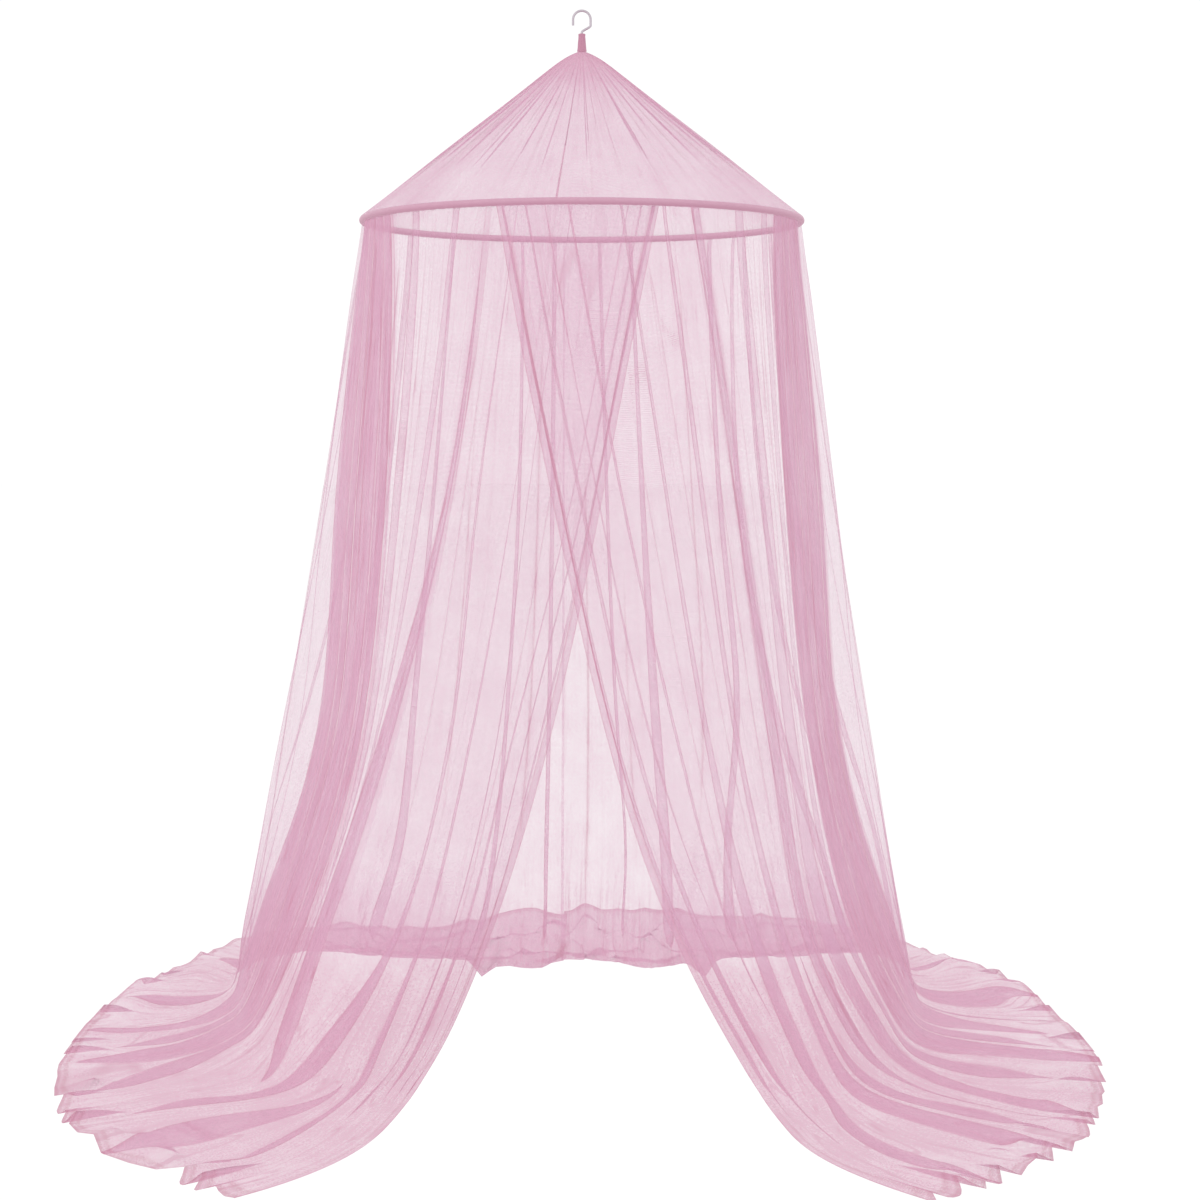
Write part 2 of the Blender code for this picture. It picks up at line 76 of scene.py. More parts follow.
LEFT_STRINGS = (
    String(-19.4, 0.345, -0.34, 0.375, -0.62, 0.45, -0.93, 0.64, -1.09),
    String(-5, 0.42, -0.43, 0.49, -0.72, 0.58, -0.95, 0.72, -1.05),
    String(8, 0.5, -0.49, 0.62, -0.74, 0.72, -0.9, 0.81, -0.965),
    String(20, 0.6, -0.5, 0.74, -0.67, 0.86, -0.79, 0.945, -0.845),
    String(34, 0.69, -0.42, 0.83, -0.54, 0.96, -0.64, 1.05, -0.7),
    String(48, 0.75, -0.29, 0.9, -0.38, 1.02, -0.46, 1.12, -0.52),
    String(62, 0.8, -0.13, 0.95, -0.2, 1.07, -0.27, 1.17, -0.31),
    String(76, 0.83, 0.03, 0.97, -0.01, 1.09, -0.05, 1.19, -0.09),
    String(90, 0.85, 0.19, 0.98, 0.17, 1.09, 0.15, 1.185, 0.13),
    String(102, 0.87, 0.34, 0.98, 0.34, 1.07, 0.34, 1.135, 0.33),
    String(113, 0.88, 0.48, 0.96, 0.5, 1.02, 0.52, 1.08, 0.52),
    String(123, 0.86, 0.61, 0.91, 0.66, 0.96, 0.72, 1.01, 0.77),
    String(133, 0.77, 0.69, 0.82, 0.78, 0.87, 0.88, 0.92, 0.95),
    String(144, 0.61, 0.67, 0.64, 0.81, 0.68, 0.97, 0.71, 1.08),
    String(158, 0.36, 0.62, 0.37, 0.79, 0.38, 0.99, 0.4, 1.17),
    String(174.3, 0.06, 0.59, 0.06, 0.76, 0.06, 0.98, 0.06, 1.2),
)

RIGHT_STRINGS = (
    String(-19.8, 0.385, -0.46, 0.41, -0.66, 0.47, -0.93, 0.66, -1.11),
    String(-5, 0.46, -0.5, 0.53, -0.73, 0.62, -0.95, 0.76, -1.05),
    String(8, 0.54, -0.52, 0.66, -0.73, 0.76, -0.89, 0.86, -0.96),
    String(20, 0.62, -0.49, 0.77, -0.64, 0.89, -0.75, 0.99, -0.82),
    String(34, 0.7, -0.39, 0.85, -0.51, 0.97, -0.6, 1.07, -0.65),
    String(48, 0.74, -0.27, 0.9, -0.36, 1.03, -0.43, 1.13, -0.47),
    String(62, 0.78, -0.12, 0.95, -0.19, 1.07, -0.24, 1.17, -0.27),
    String(76, 0.8, 0.03, 0.96, -0.02, 1.08, -0.06, 1.175, -0.08),
    String(90, 0.81, 0.19, 0.95, 0.15, 1.07, 0.13, 1.155, 0.12),
    String(102, 0.82, 0.34, 0.93, 0.32, 1.04, 0.31, 1.12, 0.31),
    String(113, 0.82, 0.48, 0.91, 0.47, 1, 0.48, 1.07, 0.49),
    String(124, 0.82, 0.6, 0.88, 0.63, 0.92, 0.66, 0.955, 0.7),
    String(134, 0.76, 0.69, 0.81, 0.76, 0.85, 0.82, 0.88, 0.87),
    String(145, 0.62, 0.67, 0.66, 0.8, 0.7, 0.94, 0.73, 1.05),
    String(160, 0.37, 0.62, 0.39, 0.78, 0.4, 0.98, 0.42, 1.15),
    String(173, 0.14, 0.6, 0.14, 0.76, 0.14, 0.98, 0.15, 1.19),
    String(185.7, -0.06, 0.59, -0.06, 0.76, -0.06, 0.98, -0.06, 1.2),
)

# How a string falls: how much of its way out is straight, and how late the rest comes
DROP_STATIONS = (0.0, 0.04, 0.30, 0.58, 0.80, 0.95)
STRAIGHT_SHARE = 0.66
SIDE_STRAIGHT_SHARE = 0.80
FLARE_POWER = 5

# ---------------------------------------------------------------- folds
# A fold runs down the panel as a band of three layers. Its two edges stand at the hoop angles near
# and far, at the places down the panel in PLACES. Where the two meet, the fold has opened out.
PLACES = (0.0, 0.15, 0.30, 0.45, 0.58, 0.70, 0.85, 1.0)
Fold = namedtuple("Fold", "near far lay")

# A crease is a thin line in the cloth, a little raised, with denser net and painted shade along it: at
# holds its hoop angles at PLACES, it shows from start to end, and strength sets how strong the line is.
Crease = namedtuple("Crease", "at start end strength")

LEFT_FOLDS = (
    Fold((-18.6, -17.5, -16.5, -17.6, -18.2, -17.5, -17, -16),
         (-17.6, -16.6, -15.5, -16.9, -17.3, -16.8, -16.8, -15.8), 1),
    Fold((-15.3, -14.6, -12, -13.8, -13.8, -12.9, -14.4, -12.5),
         (-14.7, -13.9, -11.3, -12.9, -12.8, -12.2, -14.2, -12.3), 1),
    Fold((-12, -11.1, -7.8, -9.4, -9, -8.4, -10.5, -8.5),
         (-11.5, -10.6, -7.2, -8.7, -8, -7.6, -10.2, -8.3), -1),
    Crease((-4, -4.6, -4.8, -6, -5.6, -4.6, -6.4, -5), 0.1, 0.8, 0.7),
    Fold((1.6, 1.2, -3.2, -5, -4.5, -2.6, -3.6, -3), (2.1, 1.7, -2.6, -4.2, -3.2, -1.7, -3.3, -2.8), 1),
    Fold((5.4, 5, 4.6, 3.6, 4.9, 3.6, 2.1, 2.5), (5.8, 5.5, 5.3, 4.6, 6.9, 6.2, 5.3, 4.9), -1),
    Fold((9, 8.4, 8.2, 8.6, 11.4, 9.8, 13.8, 15.5), (9.1, 8.5, 8.3, 8.8, 11.6, 10.8, 22.4, 24), 1),
    Fold((15, 14.2, 10.2, 11, 16, 20.7, 30.3, 33.2), (15.5, 14.9, 11.2, 12.6, 22.2, 28, 36.8, 36.6), -1),
    Crease((19, 18, 17, 18, 27, 32, 38, 38), 0.06, 0.42, 0.6),
    Fold((23.1, 21.6, 27, 32, 31.4, 32.2, 39, 39), (23.3, 22.8, 30.4, 36.6, 36.6, 33, 39.2, 39.2), 1),
    Fold((30.4, 29, 31, 37.2, 38.2, 40, 42, 41.4), (32.4, 31.4, 32.4, 37.8, 38.6, 40.2, 42.2, 41.6), -1),
    Crease((37, 34, 33, 38.2, 40, 45, 43.6, 42.6), 0.02, 0.34, 0.6),
    Fold((43.4, 37, 33.8, 38.6, 43, 50, 45.6, 43.4), (45.6, 39.2, 35.4, 39.2, 43.4, 50.4, 45.8, 43.6), 1),
    Fold((55, 41.6, 36.2, 41, 48, 56, 49.3, 44.4), (59.4, 47.9, 41.7, 48.5, 54.6, 63.4, 58.4, 48.4), -1),
    Fold((59.5, 48.1, 41.8, 48.7, 55.2, 64, 60.2, 63.6),
         (63.9, 54.7, 47.3, 56.3, 63, 72.2, 66.6, 67.2), 1),
    Fold((64.1, 54.9, 47.4, 56.5, 63.6, 73, 67.8, 68.4),
         (68.5, 61.3, 52.9, 64.1, 72.2, 81.6, 74.8, 71.8), -1),
    Fold((68.7, 61.5, 53, 64.3, 73, 82.6, 78, 79), (73.2, 68, 58.5, 72, 81, 90, 81, 80), 1),
    Crease((86, 79, 72, 79, 88, 94, 87, 86), 0, 0.7, 0.4),
    Fold((97, 92, 88, 84, 94, 98, 92, 95), (97.8, 92.8, 88.9, 85, 95.4, 101, 100, 98), -1),
    Crease((106, 104, 100, 96, 104, 112, 115, 110), 0, 0.9, 0.4),
    Fold((114, 118, 116, 110, 113, 117, 119, 116), (115, 119.4, 117.6, 111.8, 115, 120, 122, 119), 1),
    Crease((119.6, 125, 123, 118, 120, 124, 125, 124), 0, 0.4, 0.9),
    Fold((123, 127.4, 127.6, 124, 126, 128, 129, 128), (125, 129, 129.2, 125.4, 128, 131, 132, 131), -1),
    Crease((130.6, 134, 134, 132, 135, 137, 138, 138), 0, 0.18, 0.9),
    Fold((139.6, 141.8, 143.2, 145, 144.2, 145.6, 147.8, 147.6),
         (140.8, 143, 144.6, 146.8, 146.4, 147.6, 149.6, 149.6), 1),
    Crease((151, 152, 152.6, 153, 153, 153, 154, 154), 0.1, 0.46, 0.7),
    Fold((161.8, 163.4, 163, 162.4, 161.4, 158.6, 158, 158),
         (162.6, 164.2, 163.8, 163.2, 162.4, 160, 159, 159), -1),
    Crease((169, 168.4, 168, 167, 167, 167, 167, 167), 0.05, 0.5, 0.9),
    Fold((171, 171.2, 171.2, 171.2, 171.4, 171.4, 171.4, 171.4),
         (172.2, 172.2, 172, 171.9, 172, 172, 172, 172), 1),
)

RIGHT_FOLDS = (
    Fold((-18.6, -17.8, -17.6, -16.6, -15.2, -15.6, -15.8, -15),
         (-18, -17.1, -16.7, -15.5, -13.9, -14.4, -15.4, -14.8), -1),
    Fold((-13, -12.6, -12.2, -10.8, -9.8, -9, -9.8, -9.4),
         (-12.4, -11.9, -11.2, -9.2, -7.4, -7.4, -9, -9.2), -1),
    Fold((-8.4, -8.2, -7.4, -4.2, -0.4, -2.4, -6.4, -6.6),
         (-7.9, -7.6, -6.7, -3.7, -0.1, -2.2, -6.2, -6.4), 1),
    Fold((-3, -2.4, -0.6, -0.8, 1.6, 0.4, -5.6, -5.8), (-2.4, -1.7, 0.2, 0, 2, 0.8, -5.4, -5.6), 1),
    Crease((4, 4, 3.8, 2.4, 2.6, 1.8, -5, -5.4), 0.1, 0.52, 0.6),
    Fold((9.2, 8.2, 6.4, 3.9, 3.2, 3, -4.4, -5), (9.9, 9.1, 8, 7.2, 7.6, 6.6, 1, 6.6), -1),
    Crease((14, 13.4, 12, 11.2, 11.4, 10.8, 9, 12.6), 0.04, 0.52, 0.6),
    Fold((19.6, 17, 14, 12.2, 12.4, 12.5, 14, 15.5), (20.4, 18.1, 15.2, 14.2, 15.2, 17.4, 19.6, 20.6), 1),
    Fold((21.4, 19.4, 16.8, 15.8, 16.6, 18.6, 21.2, 22.4),
         (21.6, 19.6, 17, 16.2, 18.9, 25, 28.2, 29), -1),
    Crease((23.8, 22.8, 20, 17, 20, 27, 29.2, 30), 0.08, 0.4, 0.8),
    Fold((27, 26.2, 22.8, 18.2, 22.2, 28.8, 30.2, 31), (29.4, 29.2, 27, 22.8, 27, 32, 31.4, 31.2), -1),
    Crease((34, 32, 28.2, 23.8, 28.6, 35, 33.4, 32), 0.02, 0.5, 0.6),
    Fold((40.8, 35.8, 29.4, 24.8, 31, 37.8, 35.6, 33), (43.2, 38.6, 32.6, 29, 36.4, 43, 39.2, 38), 1),
    Crease((47, 40.6, 33.8, 30.2, 38, 44.4, 42.6, 46), 0, 0.5, 0.7),
    Fold((50.4, 42.2, 34.8, 31.4, 40.4, 46, 45.8, 50),
         (53.4, 45.4, 37.8, 36.2, 46.6, 54, 55.2, 57.6), -1),
    Fold((56.8, 46.6, 39, 38.2, 49, 57, 60.8, 62.6), (60.9, 52.1, 43.8, 46, 56.8, 65.4, 67, 66.4), 1),
    Fold((61, 52.3, 43.9, 46.2, 57.2, 66, 68.2, 67.6),
         (65.1, 57.7, 48.7, 54, 65.6, 75.4, 75.4, 72.4), -1),
    Fold((65.2, 57.9, 48.8, 54.2, 66.2, 76.2, 78, 78), (69.3, 63.2, 53.6, 62, 75.6, 85.4, 82, 79), 1),
    Fold((69.4, 63.4, 53.7, 62.2, 76.8, 86.6, 86, 86), (73.6, 68.7, 58.6, 70.4, 85, 92, 88, 87), -1),
    Crease((90, 82, 73, 78, 91, 95.6, 92, 94), 0, 0.7, 0.4),
    Fold((101, 98, 94, 88, 95, 98, 94, 99), (101.8, 98.8, 95, 89.2, 97, 102, 101.6, 102), 1),
    Crease((108, 110, 108, 102, 106, 113, 115, 113), 0, 0.9, 0.4),
    Fold((116, 122.6, 120, 112, 113, 116, 118, 117),
         (117.4, 124.2, 121.8, 113.8, 116, 120, 122, 120), -1),
    Crease((122.4, 129, 128, 122, 123, 125, 126, 125), 0, 0.3, 0.9),
    Fold((127.6, 133.6, 132.6, 127, 127, 128, 130, 129),
         (129.4, 135.6, 134.6, 129, 131, 133, 135, 133), 1),
    Fold((132, 140.6, 139.8, 136, 136, 138, 140, 140), (133.4, 142.2, 141.6, 138, 138, 140, 142, 142), 1),
    Fold((140.8, 146.2, 147.8, 154.4, 156.6, 156, 154, 154),
         (142, 147.4, 149.2, 155.8, 158.4, 158, 156, 156), -1),
    Crease((152, 154, 155.9, 160.2, 163, 163, 162, 162), 0.02, 0.46, 0.9),
    Fold((165.8, 165.8, 165.4, 165.5, 166.6, 166.8, 167, 167),
         (166.8, 167, 167.2, 167.4, 168.2, 168.4, 168.6, 168.6), 1),
    Crease((170.8, 171.2, 171.6, 171.6, 172.6, 173, 173, 173), 0.2, 0.5, 0.7),
    Fold((175, 174.6, 174, 173.2, 174.6, 174.6, 174.6, 174.6),
         (175.9, 175.4, 174.7, 173.8, 175.2, 175.2, 175.2, 175.2), -1),
    Crease((180, 180.2, 180.2, 180.9, 181.9, 182, 182, 182), 0.12, 0.55, 0.9),
)

# Where many gathers of the net hang together, it covers more: a band between two edges.
Bundle = namedtuple("Bundle", "near far cover")

LEFT_BUNDLES = (
    Bundle((54.2, 41.2, 35.8, 40.4, 47, 55, 49, 44), (73.8, 68.6, 59, 72.6, 82, 91, 76, 72), 0.4),
    Bundle((21.6, 20.8, 25, 30.6, 31, 32, 38, 38), (23.6, 24, 31, 37.6, 37, 33, 39, 39), 0.22),
)
RIGHT_BUNDLES = (
    Bundle((56.2, 46, 38.4, 37.6, 48, 56, 60, 62), (74.2, 69.2, 59.2, 71, 86, 92, 80, 76), 0.4),
    Bundle((26.4, 25.6, 22.4, 18, 22, 28.6, 30, 31),
           (30, 29.8, 27.6, 23.4, 27.4, 32.6, 31.6, 31.4), 0.12),
)

# A buckle doubles the cloth across the panel, where it lies in a heap. Its place and its half width
# are shares of the panel's length.
Buckle = namedtuple("Buckle", "near far place wide lap wave phase up")

LEFT_BUCKLES = (
    Buckle(132, 180, 0.72, 0.02, 2.9, 0.026, 0.4, 0.016),
    Buckle(126, 180, 0.81, 0.023, 2.9, 0.04, 2, 0.02),
    Buckle(136, 180, 0.915, 0.02, 2.8, 0.026, 4.1, 0.018),
)
RIGHT_BUCKLES = (
    Buckle(134, 191, 0.725, 0.02, 2.9, 0.028, 1.9, 0.016),
    Buckle(128, 191, 0.815, 0.023, 2.9, 0.042, 5.2, 0.02),
    Buckle(138, 190, 0.915, 0.02, 2.8, 0.026, 0.7, 0.018),
)

# A push moves the cloth round one spot: to the side, back and up.
Push = namedtuple("Push", "deg place wide long aside back up")

LEFT_PUSHES = (
    Push(104, 0.4, 22, 0.26, 0.045, 0, 0),
    Push(163.2, 0.67, 1.5, 0.05, 0, -0.17, 0),
    Push(168, 0.67, 8, 0.07, 0, -0.1, 0.004),
    Push(170.2, 0.67, 3.4, 0.06, 0, -0.06, 0.002),
    Push(174.6, 0.67, 1.4, 0.05, 0, 0.05, 0.004),
    Push(150, 0.68, 9, 0.07, 0, -0.06, 0.006),
    Push(155, 1, 9, 0.14, 0, -0.14, 0.004),
    Push(167.5, 1, 3, 0.08, 0, 0, 0.022),
    Push(171.5, 0.93, 2, 0.06, 0, 0, 0.014),
    Push(146, 0.9, 4, 0.08, 0, 0, 0.018),
    Push(138, 0.84, 4, 0.08, 0, 0, 0.018),
    Push(112, 0.92, 8, 0.08, 0, 0.02, 0.02),
    Push(100, 0.96, 5, 0.05, 0.02, 0, 0.024),
)
RIGHT_PUSHES = (
    Push(104, 0.4, 22, 0.26, 0.03, 0, 0),
    Push(163.2, 0.67, 1.7, 0.05, 0, -0.2, 0),
    Push(170.6, 0.67, 6, 0.07, 0, -0.14, 0.004),
    Push(185.2, 0.67, 1.6, 0.05, 0, 0.05, 0.004),
    Push(150, 0.68, 9, 0.07, 0, -0.06, 0.006),
    Push(182, 1, 2.6, 0.1, 0, 0, 0.034),
    Push(176, 0.94, 2.4, 0.06, 0, 0, 0.022),
    Push(170, 0.99, 6, 0.08, 0, 0.02, 0.014),
    Push(155, 0.94, 5, 0.08, 0, 0, 0.02),
    Push(142, 0.88, 5, 0.08, 0, 0, 0.018),
    Push(118, 0.94, 6, 0.06, 0.02, 0.02, 0.024),
    Push(104, 0.95, 6, 0.06, 0.02, 0, 0.026),
)

Panel = namedtuple("Panel", "name side strings folds bundles buckles pushes stand_off phase")

# ---------------------------------------------------------------- how the net folds, lies and covers
# Pairs say where a change starts and over what stretch it comes, round the hoop or down the panel.
SIDE_STARTS = (60.0, 22.0)
SIDE_ENDS = (112.0, 16.0)
TRAIN_ENDS = (100.0, 30.0)

# A fold's section runs on past its band, turns back across it, and turns on again
SECTION_REACH = 1.06
SECTION_STEPS = 7
SECTION_EASE = 1.5
TURN_EASE = 0.11
LEAST_GAP_DEG = 0.06
LEAST_BAND = 0.12
FULL_BAND = 0.36
# Painted shade, with denser net, along the turns of a fold: its width, and the share left where the fold
# is shut
TURN_SHADE_DEG = 0.16
TURN_SHADE_TAPER = 3.0
LEAST_TURN_SHADE_HALF = 0.2
TURN_SHADE_LEFT = 0.40
FOLD_THIN = 0.30
BACK_FOLD_THIN = 0.18
BACK_FOLD_STARTS = (118.0, 20.0)
THIN_OVER = 0.45

CREASE_HALF = 0.45
CREASE_STEPS = 6
CREASE_RISE = 0.003
CREASE_SPREAD = 0.5
CREASE_START_OVER = 0.06
CREASE_END_OVER = 0.10

# Columns of the sheet's grid: in its edge strips, and in the gaps between folds
INNER_EDGE = -1
OUTER_EDGE = -2
EDGE_STEPS = 10
GAP_PLACE = 0.3
LEAST_GAP_STEPS = 3
MOST_GAP_STEPS = 9
ROWS = 118
EVEN_PLACES = 2001

# Where the folds open out: the ones on the train near the hem, the ones at the back in the heap
HEM_OPENS = 0.880
HEM_OPENS_VARY = 0.045
HEM_OPENS_STEP = 2.4
HEM_OPENS_OVER = 0.120
BACK_FROM_DEG = 128.0
HEAP_OPENS = 0.585
HEAP_OPENS_OVER = 0.06

# How the net stands off, and how its hem waves
RISE_BIAS = 0.5
RISE_TILT = 1.6
LEAST_DEPTH = 0.0030
DEPTH_PER_DEG = 0.0022
MOST_DEPTH = 0.0110
GATHERED_SHARE = 0.45
GATHER_END = 0.10
LEFT_STAND_OFF = -0.018
RIGHT_STAND_OFF = 0.028
FRONT_FADE = 30.0
FLOOR_START = 0.62
FRONT_RELEASE = 0.30
HEM_WAVE_FRONT = 0.060
HEM_WAVE_SIDE = 0.115
HEM_WAVE_SIDE_STARTS = (34.0, 24.0)
HEM_WAVE_PLACES = 400
HEM_RISES = (0.90, 0.10)
HEM_LIFT = 0.036
HEM_DRAW_IN = 0.0150
INNER_EDGE_FADE = 6.0
BUCKLE_NEAR_OVER = 7.0
BUCKLE_FAR_OVER = 5.0
BUCKLE_CREST = 0.35
BUCKLE_CREST_HALF = 1.1
SEAM_LAP_DEG = 0.25
FLOOR_LAYER_SHARE = 0.35
PANEL_LENGTH = 2.75
TURN_AGREEMENT = 0.35

# Cover is the share of the light that one layer of net stops. It grows where cloth is bunched.
COVER_PLACES = (0.0, 0.10, 0.30, 0.42, 0.50, 0.66, 0.85, 1.0)
FRONT_COVER = (0.21, 0.18, 0.19, 0.30, 0.62, 0.70, 0.71, 0.62)
SIDE_COVER = (0.25, 0.22, 0.22, 0.26, 0.38, 0.62, 0.64, 0.53)
BACK_COVER = (0.38, 0.37, 0.36, 0.36, 0.38, 0.54, 0.50, 0.46)
SIDE_COVER_STARTS = (45.0, 30.0)
BACK_COVER_STARTS = (122.0, 24.0)
OVERLAP_COVER = 0.06
BUNDLE_OPENS = (0.50, 0.14)
BUNDLE_EDGE = 0.35
MOST_COVER = 0.97

# The hem's band down the free edge and along the foot, its stitches and its rim
HEM_BAND_DEG = 2.2
HEM_START = 0.9915
HEM_COVER = 0.22
CREASE_COVER = 0.34
RIM_START = 0.9965
STITCH_DEG = 0.22
STITCH_SHARE = 0.0022
RIM_DEG = 0.18
SEAM_END_PLACE = 0.66


def soft_step(x):
    x = np.clip(x, 0.0, 1.0)
    return x * x * (3.0 - 2.0 * x)


def grows(x, start, over):
    """0 up to start, then rising softly to 1."""
    return soft_step((x - start) / over)


def fades(x, end, over):
    """1, then falling softly to 0 at end."""
    return soft_step((end - x) / over)


def crest(x, half):
    """1 at 0, falling away to both sides."""
    return np.exp(-(x / half)**2)


def curve_through(places, values, at):
    """A smooth curve through values at the given places."""
    places = np.asarray(places)
    values = np.asarray(values)
    slope = np.gradient(values, places)
    k = np.clip(np.searchsorted(places, at) - 1, 0, len(places) - 2)
    span = places[k + 1] - places[k]
    t = (at - places[k]) / span
    return ((2 * t**3 - 3 * t**2 + 1) * values[k] + (t**3 - 2 * t**2 + t) * span * slope[k]
            + (3 * t**2 - 2 * t**3) * values[k + 1] + (t**3 - t**2) * span * slope[k + 1])


def table_curve(rows, column, at):
    return curve_through([row.hoop_deg for row in rows], [getattr(row, column) for row in rows], at)


def spline_weights(v, count):
    """Weights of a clamped cubic B-spline's control points at v, from 0 to 1."""
    knots = np.concatenate((np.zeros(3), np.linspace(0.0, 1.0, count - 2), np.ones(3)))
    v = np.clip(v, 0.0, 1.0 - 1e-9)
    weights = [((knots[i] <= v) & (v < knots[i + 1])).astype(float) for i in range(len(knots) - 1)]
    for degree in (1, 2, 3):
        for i in range(len(weights) - 1):
            rising = knots[i + degree] - knots[i]
            falling = knots[i + degree + 1] - knots[i + 1]
            up = (v - knots[i]) / rising * weights[i] if rising > 0 else 0.0
            down = (knots[i + degree + 1] - v) / falling * weights[i + 1] if falling > 0 else 0.0
            weights[i] = up + down
        weights.pop()
    return weights


def smooth_cloth(side, strings, deg, v):
    """Points of the unpleated cloth: v runs from the hoop, 0, to the hem, 1."""
    angle = np.radians(deg)
    hoop_x = HOOP_RADIUS * np.sin(angle)
    hoop_y = -HOOP_RADIUS * np.cos(angle)
    foot_x = table_curve(strings, "foot_x", deg)
    foot_y = table_curve(strings, "foot_y", deg)
    drop = SKIRT_TOP_Z - FLOOR_Z
    at_side = grows(deg, *SIDE_STARTS) * (1 - grows(deg, *SIDE_ENDS))
    straight = STRAIGHT_SHARE + (SIDE_STRAIGHT_SHARE - STRAIGHT_SHARE) * at_side
    stations = []
    for share in DROP_STATIONS:
        out = straight * share + (1 - straight) * share**FLARE_POWER
        x = hoop_x + (foot_x - hoop_x) * out
        y = hoop_y + (foot_y - hoop_y) * out
        stations.append((x, y, drop * (1 - share)))
    for name in ("foot", "turn", "lie", "hem"):
        x = table_curve(strings, name + "_x", deg)
        y = table_curve(strings, name + "_y", deg)
        stations.append((x, y, 0.0))
    total = [0.0, 0.0, 0.0]
    for weight, point in zip(spline_weights(v, len(stations)), stations):
        for axis in range(3):
            total[axis] = total[axis] + weight * point[axis]
    return np.stack((side * total[0], total[1] + 0 * v, FLOOR_Z + total[2]), axis=-1)


def outward(side, strings, deg, v):
    """Unit vectors square to the unpleated cloth, away from the inside of the canopy."""
    deg_step = 0.05
    v_step = 0.001
    after = smooth_cloth(side, strings, deg + deg_step, v)
    across = after - smooth_cloth(side, strings, deg - deg_step, v)
    high = smooth_cloth(side, strings, deg, np.clip(v + v_step, 0.0, 1.0))
    along = high - smooth_cloth(side, strings, deg, np.clip(v - v_step, 0.0, 1.0))
    normal = side * np.cross(along, across)
    return normal / np.linalg.norm(normal, axis=-1, keepdims=True)


def fold_section():
    """Places across a fold, in half bands, with how far each is from the nearest turn of the cloth."""
    section = []
    sweep = SECTION_REACH + 1
    for k in range(SECTION_STEPS):
        x = 1 - (1 - k / SECTION_STEPS)**SECTION_EASE
        section.append((-SECTION_REACH + sweep * math.sin(math.pi / 2 * x), -1 + x / 2, x - 1))
    for k in range(2 * SECTION_STEPS + 1):
        share = k / (2 * SECTION_STEPS)
        x = share - TURN_EASE * math.sin(2 * math.pi * share)
        section.append((math.cos(math.pi * x), x - 0.5, min(x, 1 - x)))
    for k in range(1, SECTION_STEPS + 1):
        x = (k / SECTION_STEPS)**SECTION_EASE
        section.append((-1 + sweep * (1 - math.cos(math.pi / 2 * x)), 0.5 + x / 2, x))
    return section


SECTION = fold_section()


def middle_at(zone, v):
    if isinstance(zone, Crease):
        return curve_through(PLACES, zone.at, v)
    return (curve_through(PLACES, zone.near, v) + curve_through(PLACES, zone.far, v)) / 2


def half_band(zone, v):
    if isinstance(zone, Crease):
        return CREASE_HALF + 0 * v
    wide = (curve_through(PLACES, zone.far, v) - curve_through(PLACES, zone.near, v)) / 2
    return np.maximum(wide, LEAST_BAND)


def column_plan(zones):
    """For each column of the panel: the zone it is in, and its place in that zone. Zones with an even
    number are folds and creases, and the ones between them are gaps."""
    plan = [(INNER_EDGE, k / EDGE_STEPS) for k in range(EDGE_STEPS)]
    for index, zone in enumerate(zones):
        steps = len(SECTION) if isinstance(zone, Fold) else CREASE_STEPS + 1
        plan += [(2 * index, k) for k in range(steps)]
        if index + 1 < len(zones):
            gap = middle_at(zones[index + 1], GAP_PLACE) - middle_at(zone, GAP_PLACE)
            gap_steps = int(min(MOST_GAP_STEPS, max(LEAST_GAP_STEPS, gap)))
            plan += [(2 * index + 1, k / gap_steps) for k in range(1, gap_steps)]
    return plan + [(OUTER_EDGE, k / EDGE_STEPS) for k in range(1, EDGE_STEPS + 1)]


def opened(panel, index, v):
    """The share of a fold that is left at v, as it opens out towards the hem or in the heap."""
    if middle_at(panel.folds[index], HEAP_OPENS) > BACK_FROM_DEG:
        return 1 - grows(v, HEAP_OPENS, HEAP_OPENS_OVER)
    opens = HEM_OPENS + HEM_OPENS_VARY * math.sin(HEM_OPENS_STEP * index + panel.phase)
    return 1 - grows(v, opens, HEM_OPENS_OVER)


def kept_apart(middles, halves):
    """Half widths drawn in where two folds would run into each other."""
    limit = [np.ones_like(half) for half in halves]
    for k in range(len(halves) - 1):
        room = np.maximum(middles[k + 1] - middles[k] - LEAST_GAP_DEG, LEAST_GAP_DEG)
        share = np.minimum(room / (SECTION_REACH * (halves[k] + halves[k + 1])), 1.0)
        limit[k] = np.minimum(limit[k], share)
        limit[k + 1] = np.minimum(limit[k + 1], share)
    return [half * share for half, share in zip(halves, limit)]


